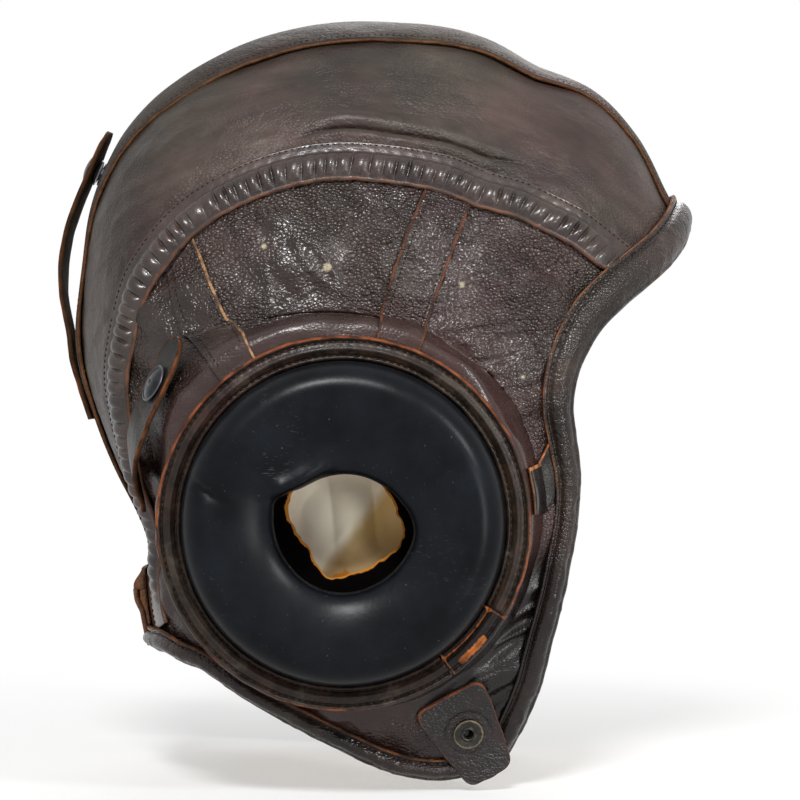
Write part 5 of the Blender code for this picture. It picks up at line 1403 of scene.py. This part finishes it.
lining = dict(
    thick=0.0012, gap=0.0008, edgeGap=0.0013, slack=0.0014, slackDegrees=18, holeRadius=0.0195, rays=300,
    rows=52, corners=(60, 34, -57, -138, -165), seam=0.0002,
    holeShares=(
        (-28, 0.97), (-14.5, 1.0), (11, 0.89), (33, 0.86), (60, 0.86), (90, 0.88), (120, 0.93),
        (152, 0.995), (174, 0.965), (196, 0.84), (220, 0.77), (254.6, 0.985), (280, 0.90), (308, 0.88),
    ),
)


def liningRays():
    # Each ray runs straight in angle pairs from the hole to its place on the middle line or the free edge.
    k = lining
    inset = binding["leg"] + k["edgeGap"]
    turn = math.degrees(inset / head["crownReach"])
    front, back = head["brow"][0][0] + turn, head["nape"][-1][0] + 360 - 2 * turn
    middle = evenCurve([(degrees, 0.0) for degrees in np.linspace(back, front, 6)])
    corners = (k["corners"][-1] + 360, *k["corners"])
    ears, ends, insets = [], [], []
    for place, curve in enumerate((middle, brow, cheek, jaw, nape)):
        span = corners[place + 1] - corners[place]
        count = int(abs(span) / 360 * k["rays"])
        shares = np.linspace(0, 1, count, endpoint=False)
        ears.append(corners[place] + shares * span)
        ends.append(along(curve, shares))
        insets.append(np.full(count, 0.0 if place == 0 else inset))
    return np.concatenate(ears), np.concatenate(ends), np.concatenate(insets)


def liningMesh():
    k = lining
    ears, ends, insets = liningRays()
    radius = k["holeRadius"] * smoothTable(k["holeShares"], ears, 360)
    radius = radius * (1 + 0.030 * latticeNoise(earDirection(ears) * 0.0175, 0.0022, 91))
    starts = np.stack([ears, outAtRadius(ears, radius)], -1)
    turn = (ends[:, 0] - ears + 180) % 360 - 180
    span = np.stack([turn, ends[:, 1] - starts[:, 1]], -1)
    steps = np.linspace(0, 1, 140)
    trial = formPoint(*np.moveaxis(starts[:, None] + steps[None, :, None] * span[:, None], -1, 0))
    away = np.linalg.norm(trial[:, :, None] - edgePlaces[None, None, ::3], axis=-1).min(-1)
    bad = (away < insets[:, None]) & (steps[None] > 0.3)
    reached = np.where(bad.any(1), steps[np.maximum(np.argmax(bad, 1) - 1, 0)], 1.0)
    share = np.linspace(0, 1, k["rows"])[None, :] * reached[:, None]
    pairs = starts[:, None] + share[..., None] * span[:, None]
    degrees, out = pairs[..., 0], np.maximum(pairs[..., 1], 0)
    front, back = head["brow"][0][0], head["nape"][-1][0] + 360
    turned = degrees % 360
    inside = np.clip(np.minimum(turned - front, back - turned) / k["slackDegrees"], 0, 1)
    base = formPoint(degrees, out)
    normal = formNormal(base)
    folds = 0.00035 * latticeNoise(base, 0.016, 92) + 0.00022 * ridged(base, 0.010, 93)
    drop = k["gap"] + k["slack"] * inside + (0.0005 + folds) * smoothStep(share, 0, 0.08)
    outer = base - drop[..., None] * normal
    outer[..., 1] = np.minimum(outer[..., 1], -k["seam"])
    mesh = sheetMesh("lining", outer, normal, k["thick"], closed=True)
    shape = (len(ears), 2 * k["rows"] + 2)
    raw, paintedShadeFace = np.zeros(shape), np.zeros(shape)
    raw[:, [0, -1, -2]] = 1.0
    raw[:, 1] = 0.45
    # The outer face is marked for a near-black colour that paints the shade of the recess behind the ear
    # hole.
    paintedShadeFace[:, : k["rows"]] = 1.0
    fillLayer(mesh, "raw", raw)
    fillLayer(mesh, "outer", paintedShadeFace)
    return mesh


liningHalf = liningMesh()
wholeLining = joined("lining", [liningHalf, mirrored(liningHalf)])
addPiece("lining_look", wholeLining, "chamois", "shell", ["lining"])

# A folded chamois flap that shows through the ear hole, hung inside the lining
earFlap = dict(radius=0.0245, startUp=0.0205, rings=50, sides=120, depth=0.0745, thick=0.0011)


def earFlapMesh():
    f = earFlap
    turn = np.linspace(0, 2 * math.pi, f["sides"], endpoint=False)[:, None]
    share = np.linspace(0.002, 1, f["rings"])[None, :]
    x = share * f["radius"] * np.cos(turn)
    z = share * f["radius"] * np.sin(turn) + (1 - share) * f["startUp"] - 0.001
    radius = np.hypot(x, z + 0.001)
    waver = 0.9 * np.sin((0.5 * x - 0.8 * z) / 0.012) + 0.9
    fold = 0.0024 * np.abs(np.sin((0.88 * x + 0.36 * z) / 0.0046 + waver)) ** 0.8
    flat = np.stack([x, 0 * x, z], -1)
    depth = f["depth"] + fold * 0.8 + 0.0016 * latticeNoise(flat, 0.014, 95) + 0.06 * x
    depth = depth + 0.0060 * np.clip(1 - (radius / 0.0150) ** 2, 0, 1) ** 1.5
    depth = depth - 0.0030 * smoothStep(x - 0.75 * z, 0.002, 0.010)
    points = np.stack([x, -depth, z], -1)
    return sheetMesh("earFlap", points, np.array([0, -1, 0]), f["thick"], closed=True)


addPair("ear_flap", earFlapMesh(), "chamois")
print("lining made")


# Straps and snaps

snap = dict(
    capRadius=0.0064, capHeight=0.0021, rim=0.0006, barrel=0.0021, socket=0.0046, socketHeight=0.0011,
    gap=0.0003, tab=0.0016, seam=0.0012, sides=96,
)
gogglesTab = dict(
    width=0.0170, lift=0.0048, lean=0.15, root=0.18, snapShare=0.74, rows=9, calm=50,
    ears=(170.5, 163.5, 156, 148, 140.5, 134.5), radii=(1.055, 1.063, 1.082, 1.115, 1.155, 1.180),
    lifts=((0, 1.0), (0.2, 1.35), (0.4, 1.3), (0.65, 1.0), (1, 1.0)),
)
backStrap = dict(
    degrees=(158, 120), width=0.020, gap=0.0058, snapShare=0.86, rows=9, calm=6,
    gaps=((0, 0), (0.2, 0.03), (0.34, 0.22), (0.48, 0.82), (0.58, 1), (0.68, 0.84), (0.78, 0.52), (1, 0.52)),
)


def gogglesPath(shares):
    # Under face of the tab and its normals: the panel lifted, with a little lean towards the back.
    g = gogglesTab
    knots = np.linspace(0, 1, len(g["ears"]))
    facing = []
    for at in (shares, np.maximum(shares, g["root"])):
        ears = np.interp(at, knots, g["ears"])
        radii = ring["outer"] * np.interp(at, knots, g["radii"])
        rows = np.array([rowsAtRadius(ears[[k]], radii[k])[0] for k in range(len(ears))])
        facing.append(sideFrame(ears, rows))
    (base, normal), (_, kept) = facing
    lift = leather["thick"] + snap["gap"] + g["lift"] * atTable(g["lifts"], shares)
    return base + lift[:, None] * normal, kept - g["lean"] * np.array([1.0, 0, 0])


def backPath(shares):
    b = backStrap
    degrees = b["degrees"][0] + shares * (b["degrees"][1] - b["degrees"][0])
    base = formPoint(degrees, 0.0)
    normal = formNormal(base)
    return base + (overLift + b["gap"] * atTable(b["gaps"], shares))[:, None] * normal, normal


def pathFrames(places, normals):
    forward = unit(np.gradient(places, axis=0))
    forward[0], forward[-1] = unit(places[1] - places[0]), unit(places[-1] - places[-2])
    normals = unit(normals - (normals * forward).sum(-1, keepdims=True) * forward)
    return forward, normals


def snapSeat(path, look):
    # The flat seat under a snap: the middle of the two path frames a cap's radius to each side of it.
    shares = np.linspace(0, 1, look["rows"])
    length = runAlong(path(shares)[0])[-1]
    reach = (snap["capRadius"] + snap["gap"]) / length
    low, high = look["snapShare"] - reach, look["snapShare"] + reach
    cad = [*np.linspace(0, low, look["rows"]), high]
    cad += [share for share in (1 - snap["seam"] / length, 1) if share > high]
    places, normals = path(np.array(cad))
    normals = pathFrames(places, normals)[1]
    at = look["rows"] - 1
    ahead = unit(places[at + 1] - places[at])
    normal = normals[at] + normals[at + 1]
    normal = unit(normal - (normal @ ahead) * ahead)
    return length, low, (places[at] + places[at + 1]) / 2, normal, ahead


def strapMesh(name, path, look, curl):
    # Frames from the CAD's path, flat under the snap; the tip is round, by sqrt(1 - (1 - left)^2).
    length, low, seat, seatNormal, seatAhead = snapSeat(path, look)
    shares = np.concatenate([np.linspace(0, low, 70), np.linspace(low, 1, 60)[1:]])
    shares = np.unique(np.concatenate([shares, 1 - np.geomspace(0.0005, 0.03, 14)]))
    places, normals = path(shares)
    for _ in range(look["calm"]):
        places[1:-1] = (places[:-2] + 2 * places[1:-1] + places[2:]) / 4
    flat = smoothStep(shares, low - 0.10, low)
    ahead = ((shares - look["snapShare"]) * length)[:, None]
    places = places + flat[:, None] * (seat + ahead * seatAhead - places)
    forward, normals = pathFrames(places, normals)
    normals = unit(normals + flat[:, None] * (seatNormal - normals))
    side = unit(np.cross(forward, normals))
    calmed = side
    for _ in range(6 * look["calm"]):
        wider = np.concatenate([calmed[:1], calmed, calmed[-1:]])
        calmed = (wider[:-2] + 2 * wider[1:-1] + wider[2:]) / 4
    side = unit(calmed + flat[:, None] * (side - calmed))
    normals = unit(np.cross(side, forward))
    left = np.clip((1 - shares) * length / (look["width"] / 2), 0, 1)
    half = look["width"] / 2 * np.maximum(np.sqrt(np.clip(1 - (1 - left) ** 2, 0, 1)), 0.02)
    across = np.linspace(-1, 1, 34)
    lateral = across[None] * half[:, None]
    wave = np.stack([shares[:, None] * length + 0 * lateral, lateral, 0 * lateral], -1)
    ragged = 0.00018 * latticeNoise(wave * (1, 0.02, 1), 0.0032, 96)
    lateral = lateral + ragged * across[None] ** 4 * np.sign(across)
    onTop = places[:, None] + lateral[..., None] * side[:, None]
    fromSnap = np.hypot((shares[:, None] - look["snapShare"]) * length, lateral)
    calm = 1 - bump(fromSnap, 0, 0.009)
    waves = 0.00035 * latticeNoise(wave, 0.012, 97) + 0.00012 * latticeNoise(wave, 0.004, 98)
    curled = curl * (across[None] ** 2 - 0.3) * smoothStep(shares, 0.05, 0.3)[:, None]
    lift = snap["tab"] + calm * (waves + curled) - 0.00018 * bump(fromSnap, 0.0066, 0.0012)
    outer = onTop + lift[..., None] * normals[:, None]
    raw = 0.9 * smoothStep((1 - np.abs(across))[None] * half[:, None], 0.0010, 0.0001)
    mesh = sheetMesh(name, outer, normals[:, None], snap["tab"], raw=raw)
    return mesh, seat + snap["tab"] * seatNormal, seatNormal, seatAhead


def latheMesh(name, profile, rub, place, normal, forward):
    # Points are place + radius (cos across + sin forward) + height normal.
    # Poles close a profile that meets the axis.
    profile, rub, sides = np.array(profile, float), np.array(rub, float), snap["sides"]
    across = np.cross(forward, normal)
    onAxis = profile[0, 0] == 0
    body, bodyRub = (profile[1:-1], rub[1:-1]) if onAxis else (profile, rub)
    rubs = np.tile(bodyRub, sides)
    turn = np.linspace(0, 2 * math.pi, sides, endpoint=False)
    spokes = np.cos(turn)[:, None] * across + np.sin(turn)[:, None] * forward
    loops = place + body[None, :, :1] * spokes[:, None] + body[None, :, 1:] * normal
    size = len(body)
    quads, _ = loopQuads(sides, size, True)
    points, triangles = loops.reshape(-1, 3), None
    if onAxis:
        quads = quads[np.arange(sides * size) % size != size - 1]
        poles = place + profile[[0, -1], 1:] * normal
        points, rubs = np.concatenate([points, poles]), np.append(rubs, rub[[0, -1]])
        i, pole = np.arange(sides), np.full(sides, sides * size)
        after = (i + 1) % sides
        top = np.stack([pole, i * size, after * size], -1)
        low = np.stack([pole + 1, after * size + size - 1, i * size + size - 1], -1)
        triangles = np.concatenate([top, low])
    return meshFromArrays(name, points, quads, triangles, rub=rubs)


def capProfile():
    # A shallow dome in a rolled rim, on a barrel with a wider socket below the leather.
    s = snap
    rise = np.linspace(0, 1, 12)
    dome = [(s["capRadius"] * 0.90 * t, s["rim"] + (s["capHeight"] - s["rim"]) * (1 - t**2.4)) for t in rise]
    turns = np.linspace(-0.3, math.pi, 9)
    bead = 0.00042
    rimMiddle = (s["capRadius"] - bead, s["gap"] / 2 + bead)
    rim = [(rimMiddle[0] - bead * math.cos(t), rimMiddle[1] + bead * math.sin(t)) for t in turns]
    rim = [(radius, height) for radius, height in rim if radius > dome[-1][0]]
    under = -s["tab"] - s["gap"]
    foot = [(s["capRadius"] - bead, s["gap"] / 2), (s["barrel"], s["gap"] / 2), (s["barrel"], under)]
    low = under - s["socketHeight"]
    foot += [(s["socket"] - 0.0002, under), (s["socket"], under - 0.0002), (s["socket"], low + 0.0002)]
    foot += [(s["socket"] - 0.0003, low), (0, low)]
    rub = [0.15 + 0.5 * (t < 0.35) for t in rise] + [1.0] * len(rim) + [0.2] * len(foot)
    return dome + rim + foot, rub


def addSnappedStrap(name, path, look, curl, pair):
    # The strap and its cap on their own body, or on one body for each side.
    mesh, place, normal, ahead = strapMesh(name, path, look, curl)
    profile, rub = capProfile()
    cap = latheMesh(name + "_cap", profile, rub, place, normal, ahead)
    if pair:
        addPair(name, mesh, "strap", body=name, node=name)
        addPair(name + "_cap", cap, "gunmetal", body=name, node=name + "_cap")
    else:
        addPiece(name + "_look", mesh, "strap", name, [name])
        addPiece(name + "_cap_look", cap, "gunmetal", name, [name + "_cap"])


addSnappedStrap("goggle_tab", gogglesPath, gogglesTab, 0.0004, True)
addSnappedStrap("back_strap", backPath, backStrap, 0.0003, False)
print("straps made")


# Chin tabs: rounded leather flaps round an eyelet snap

chin = dict(
    width=0.0255, length=0.0320, drawIn=0.0045, ear=-59.7, turn=-2, tilt=17, standOff=0.0009,
    ringGap=0.0052, snapShare=0.47, bore=0.0029, sides=240, rows=36, imprint=0.0074, curl=0.0007,
    snapRadius=0.0050, snapBore=0.0016, snapBarrel=0.0026, snapLip=0.0009,
)


def chinFrame():
    # The CAD's hung frame: across, down the tab and out of its face.
    c = chin
    ear = np.array(float(c["ear"]))
    row = rowsAtRadius(ear[None], ring["outer"] + c["ringGap"])[0]
    place = sidePoint(ear, row)
    outward = earDirection(ear)
    tilt = math.radians(c["tilt"])
    hang = math.cos(tilt) * outward + math.sin(tilt) * np.array([0, 1.0, 0])
    face = math.sin(tilt) * outward - math.cos(tilt) * np.array([0, 1.0, 0])
    hang = np.array(Matrix.Rotation(math.radians(c["turn"]), 3, Vector(face)) @ Vector(hang))
    return place + (leather["thick"] + c["standOff"]) * face, np.cross(hang, face), hang, face


def roundedOutline(turn):
    # The ray at a turn from the snap meets a trapezium whose corners are rounded by a power of 7.
    c = chin
    centre = c["snapShare"] * c["length"]
    x, y = np.cos(turn), np.sin(turn)
    upper, lower = centre, c["length"] - centre
    span = np.where(y > 0, lower, upper)
    reach = np.full(turn.shape, 0.016)
    for _ in range(30):
        share = np.clip((centre + reach * y) / c["length"], 0, 1)
        half = c["width"] / 2 - c["drawIn"] * share
        value = (np.abs(reach * x) / half) ** 7 + (np.abs(reach * y) / span) ** 7
        reach = reach / value ** (1 / 7)
    return reach


def chinTabMesh():
    c = chin
    origin, across, hang, face = chinFrame()
    turn = np.linspace(0, 2 * math.pi, c["sides"], endpoint=False)
    reach = roundedOutline(turn)
    circle = np.stack([np.cos(turn), np.sin(turn), 0 * turn], -1)
    reach = reach + 0.00022 * latticeNoise(circle * 0.014, 0.0026, 101) - 0.0011 * bump(turn, 2.32, 0.03)
    share = np.linspace(0, 1, c["rows"]) ** 0.8
    radius = c["bore"] + share[None] * (reach[:, None] - c["bore"])
    x, y = radius * np.cos(turn)[:, None], radius * np.sin(turn)[:, None] + c["snapShare"] * c["length"]
    flat = np.stack([x, y, 0 * x], -1)
    away = smoothStep(radius, 0.0062, 0.0095)
    waves = 0.0003 * latticeNoise(flat, 0.010, 102) + 0.00012 * latticeNoise(flat, 0.0035, 103)
    curl = c["curl"] * smoothStep(y, 0.022, 0.032) + 0.0005 * np.sin(y / 0.0046)
    height = snap["tab"] + away * (waves + curl) - 0.00035 * bump(radius, c["imprint"], 0.0006)
    height = height - 0.00012 * smoothStep(radius, 0.0078, 0.0068)
    outer = origin + x[..., None] * across + y[..., None] * hang + height[..., None] * face
    raw = smoothStep(share, 0.90, 1.0)[None] * (0.55 + 0.45 * smoothStep(y, 0.006, 0.0))
    return sheetMesh("chinTab", outer, face, snap["tab"], closed=True, raw=raw)


def maskSnapMesh():
    c = chin
    origin, _, hang, face = chinFrame()
    place = origin + c["snapShare"] * c["length"] * hang + snap["tab"] * face
    lip, bore, wide = c["snapLip"], c["snapBore"], c["snapRadius"]
    under = -snap["tab"] - snap["gap"]
    roll = 0.00045
    turns = np.linspace(0, math.pi, 8)
    bead = [(bore + roll - roll * math.cos(t), lip - roll + roll * math.sin(t)) for t in turns]
    dish = [(bore + 0.00125, lip - 0.00022), (bore + 0.0020, lip - 0.0002), (0.0042, lip - 0.00005)]
    turns = np.linspace(0.2, math.pi / 2, 5)
    rim = [(wide - 0.0004 * (1 - math.sin(t)), 0.0005 + 0.0004 * math.cos(t)) for t in turns]
    foot = [(wide, snap["gap"] / 2), (c["snapBarrel"], snap["gap"] / 2), (c["snapBarrel"], under)]
    foot += [(snap["socket"], under), (snap["socket"], under - lip), (bore, under - lip)]
    rub = [0.55] * len(bead) + [0.3, 0.1, 0.25] + [0.9] * len(rim) + [0.2] * len(foot)
    return latheMesh("maskSnap", bead + dish + rim + foot, rub, place, face, hang)


addPair("chin_tab", chinTabMesh(), "chinTab", body="chin_tab", node="chin_tab")
addPair("mask_snap", maskSnapMesh(), "brass", body="chin_tab", node="mask_snap")


# Nape tab

napeTab = dict(
    width=0.030, degrees=(201, 215), tipShare=0.92, droop=0.0012, root=5.0, seatEnd=210.0, corner=0.005,
    under=bandOverLift + leather["trim"] + 0.0004 + snap["gap"], clearance=0.0004,
)


def napeTabMesh():
    n = napeTab
    shares = np.linspace(0, 1, 44)
    base = formPoint(n["degrees"][0] + shares * (n["degrees"][1] - n["degrees"][0]), 0.0)
    normals = formNormal(base)
    places = base + (n["under"] - n["droop"] * smoothStep(shares, 0.15, 0.45)[:, None]) * normals
    forward, normals = pathFrames(places, normals)
    side = unit(np.cross(forward, normals))
    corner = np.clip((1 - shares) * np.linalg.norm(places[-1] - places[0]) / n["corner"], 0, 1)
    half = n["width"] / 2 * (1 - (1 - n["tipShare"]) * shares)
    half = half - 0.0035 * (1 - np.sqrt(np.clip(1 - (1 - corner) ** 2, 0, 1)))
    across = np.linspace(-1, 1, 60)
    onTop = places[:, None] + (across[None] * half[:, None])[..., None] * side[:, None]
    waves = 0.0003 * latticeNoise(onTop, 0.012, 105) + 0.00014 * latticeNoise(onTop, 0.004, 106)
    outer = onTop + (snap["tab"] + waves)[..., None] * normals[:, None]
    raw = np.maximum(smoothStep(np.abs(across), 0.93, 1.0)[None], smoothStep(shares, 0.93, 1.0)[:, None])
    return sheetMesh("napeTab", outer, normals[:, None], snap["tab"], raw=0.8 * raw)


def napeRootMesh():
    # The sewn end above the hinge, a ramp up to the tab's outer face, and the doubled seat below the tab.
    n = napeTab
    hinge, last = n["degrees"]
    top = hinge - n["root"]
    degrees = np.concatenate(
        [np.linspace(top, hinge - 0.03, 18), np.linspace(hinge + 0.03, n["seatEnd"], 30)]
    )
    base = formPoint(degrees, 0.0)
    forward, normals = pathFrames(base, formNormal(base))
    side = unit(np.cross(forward, normals))
    across = np.linspace(-1, 1, 60)
    flat = base[:, None] + n["under"] * normals[:, None]
    flat = flat + across[None, :, None] * n["width"] * 0.48 * side[:, None]
    below, under = draped(flat)
    full = ((flat - below) * under).sum(-1)
    ramp = smoothStep(degrees, top, hinge - 0.2 * n["root"])[:, None]
    droop = n["droop"] * smoothStep((degrees - hinge) / (last - hinge), 0.15, 0.45)[:, None]
    height = overLift + snap["tab"] + (full - overLift) * ramp
    height = np.where((degrees > hinge)[:, None], full - droop - n["clearance"], height)
    height = np.maximum(height, overLift + n["clearance"])
    edge = smoothStep(degrees, hinge - 0.9 * n["root"], top)[:, None]
    edge = np.maximum(smoothStep(np.abs(across), 0.95, 1.0)[None], edge)
    outer = below + height[..., None] * under
    return sheetMesh("napeRoot", outer, under, height - overLift - 0.0001, raw=0.7 * edge)


addPiece("nape_root_look", napeRootMesh(), "trim", "shell")
addPiece("nape_tab_look", napeTabMesh(), "trim", "nape_tab", ["nape_tab"])
print("tabs made")

# The studs stay as the CAD has them, in the snaps' own finish
for studNode in ("goggle_stud_right", "goggle_stud_left", "back_strap_stud"):
    studPiece = bpy.data.objects[studNode]
    for studSlot in studPiece.material_slots:
        studSlot.material = finishes["gunmetal"]


# Stitches, sewn over the finished pieces

sewing = dict(stripInset=0.0021, bindingInset=0.0021, neckInset=0.0014, tapeInset=0.0024, tapeReach=1.90)


def addStitches(name, lines, pair=True):
    # Lines of (places, normals, pitch, skip share) become one mesh of thread.
    meshes = [
        stitchMesh(f"{name}{k}", places, normals, pitch, seed=7 * k + 3, skip=skip)
        for k, (places, normals, pitch, skip) in enumerate(lines)
    ]
    mesh = joined(name, meshes)
    if pair:
        addPair(name, mesh, "thread")
    else:
        addPiece(name + "_look", mesh, "thread", "shell")


def stripLine(side):
    tuck = strip["tuck"] / curveLength(stripInner)
    degrees = along(stripInner, np.linspace(tuck * 1.4, 1 - tuck * 1.4, 600))[:, 0]
    width = side * (stripHalf(degrees) - sewing["stripInset"])
    places, normals = stripSkin(degrees, width, -0.00012)
    return places, normals, 0.0021, 0.05


def archLine(across):
    tuck = band["tuck"] / curveLength(arch)
    places, normals, _ = archSkin(np.linspace(tuck * 1.3, 1 - tuck * 1.3, 1400), np.array([across]))
    return places[:, 0], normals[:, 0], 0.0020, 0.06


def bindingLine(loops, inset):
    # The point of each section that lies an inset inside the strip's raw edge.
    points, _, normals, width = loops
    rows = bindingSection()[: binding["flatRows"], 0][::-1]
    lines = points[:, : len(rows)][:, ::-1]
    place = np.stack([rowsAt(line, rows, share) for share, line in zip(1 - inset / width, lines)])
    return place, normals, 0.0019, 0.04


def panelLine(lowEar, highEar, inset):
    # A line down a tape, from ear angles at the ring and the arch, an inset to one side of them.
    low = rowsAtRadius(np.array([lowEar]), ring["outer"] + 0.0012)[0]
    share = np.linspace(0, 1, 160)
    row = low + share * (sewing["tapeReach"] - low)
    coarse = sidePoint(lowEar + share * (highEar - lowEar), row)
    radius = np.hypot(coarse[:, 0], coarse[:, 2])
    part = (radius - radius[0]) / (radius[-1] - radius[0])
    ear = lowEar + part * (highEar - lowEar) + np.degrees(inset / radius)
    places, normals = panelSkin(ear, row, leather["seat"] + leather["overlay"] + tape["thick"])
    return places, normals, 0.0019, 0.08


def ringLine(across):
    degrees = np.linspace(highPatch + 1, lowPatch + 359, 900)
    place = (ring["inner"] + across * (ring["outer"] - ring["inner"])) * earDirection(degrees)
    place[:, 1] = -(ring["base"] + ring["thick"] - 0.00005 + 0.00025 * latticeNoise(place, 0.012, 72))
    return place, np.broadcast_to(np.array([0.0, -1.0, 0.0]), place.shape), 0.0022, 0.10


addStitches("crown_strip_stitches", [stripLine(-1), stripLine(1)], pair=False)
addStitches("arch_stitches", [archLine(band["stitchRow"])])
addStitches("face_band_stitches", [bindingLine(faceLoops, sewing["bindingInset"])], pair=False)
addStitches("neck_band_stitches", [bindingLine(neckLoops, sewing["neckInset"])], pair=False)
tapeLines = []
for tapeLook in tapes.values():
    highEars = [float(earAtArch(degrees)) for degrees in tapeLook["arch"]]
    for lowEar, highEar, side in zip(tapeLook["ring"], highEars, (1, -1)):
        tapeLines.append(panelLine(lowEar, highEar, side * sewing["tapeInset"]))
addStitches("tape_stitches", tapeLines)
addStitches("ring_stitches", [ringLine(share) for share in ring["needleShares"]])
print("stitches sewn")


# Camera, lights and floor

view = dict(place=(0.018, -1.1, 0.0393), lens=141.4, sensor=36.0)
light = dict(
    world=0.30, floorRadius=1.6, aim=(0, 0, 0.03),
    lamps=dict(
        key=((-0.15, -1.35, 1.15), 27.0, 0.36), fill=((1.15, -1.20, 0.80), 12.0, 0.32),
        back=((0.15, 1.3, 0.85), 8.5, 0.8), low=((0.75, -1.20, -0.02), 4.0, 0.30),
    ),
)


def addCamera():
    data = bpy.data.cameras.new("camera")
    data.lens, data.sensor_width = view["lens"], view["sensor"]
    camera = addObject("camera", data, view["place"])
    camera.rotation_euler = (math.pi / 2, 0, 0)
    bpy.context.scene.camera = camera


def addSoftbox(name, place, watts, size):
    data = bpy.data.lights.new(name, "AREA")
    data.energy, data.size, data.shape = watts, size, "DISK"
    lamp = addObject(name, data, place)
    aim = Vector(light["aim"]) - Vector(place)
    lamp.rotation_mode = "QUATERNION"
    lamp.rotation_quaternion = aim.to_track_quat("-Z", "Y")


def seenDirectly(tree):
    path = addNode(tree, "ShaderNodeLightPath").outputs
    seen = maths(tree, "MAXIMUM", path["Is Camera Ray"], path["Is Glossy Ray"])
    return maths(tree, "MAXIMUM", seen, path["Is Transmission Ray"])


def setWorld():
    world = bpy.data.worlds.new("studio")
    world.use_nodes = True
    tree = world.node_tree
    soft = addNode(tree, "ShaderNodeBackground", {"Color": (1, 0.99, 0.97, 1), "Strength": light["world"]})
    white = addNode(tree, "ShaderNodeBackground", {"Color": (1, 1, 1, 1), "Strength": 1.0})
    shaders = {0: seenDirectly(tree), 1: soft.outputs[0], 2: white.outputs[0]}
    pick = addNode(tree, "ShaderNodeMixShader", shaders)
    tree.links.new(pick.outputs[0], tree.nodes["World Output"].inputs["Surface"])
    bpy.context.scene.world = world


def addFloor():
    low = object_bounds()[0]
    count = 96
    turn = np.linspace(0, 2 * math.pi, count, endpoint=False)
    circle = np.stack([np.cos(turn), np.sin(turn), 0 * turn], -1) * light["floorRadius"]
    mesh = bpy.data.meshes.new("floor")
    mesh.from_pydata([tuple(place) for place in circle + (0, 0, low.z - 0.002)], [], [tuple(range(count))])
    floor = addObject("floor", mesh)
    made, tree, shader, where = newMaterial("floor")
    shader.inputs["Base Color"].default_value = (0.9, 0.9, 0.9, 1)
    shader.inputs["Roughness"].default_value = 0.9
    glow = addNode(tree, "ShaderNodeEmission", {"Color": (1, 1, 1, 1), "Strength": 1.0})
    x, y, _ = splitVector(tree, where)
    middle = maths(tree, "SQRT", timesPlus(tree, y, y, times(tree, x, x)))
    white = times(tree, seenDirectly(tree), mapped(tree, middle, 0.12, 0.50, 0.45, 1.0))
    pick = addNode(tree, "ShaderNodeMixShader", {0: white, 1: shader.outputs[0], 2: glow.outputs[0]})
    tree.links.new(pick.outputs[0], tree.nodes["Material Output"].inputs["Surface"])
    mesh.materials.append(made)


addCamera()
setWorld()
for lampName, (lampPlace, lampWatts, lampSize) in light["lamps"].items():
    addSoftbox(lampName, lampPlace, lampWatts, lampSize)
addFloor()
bpy.context.scene.view_settings.view_transform = "Standard"

print("scene ready")
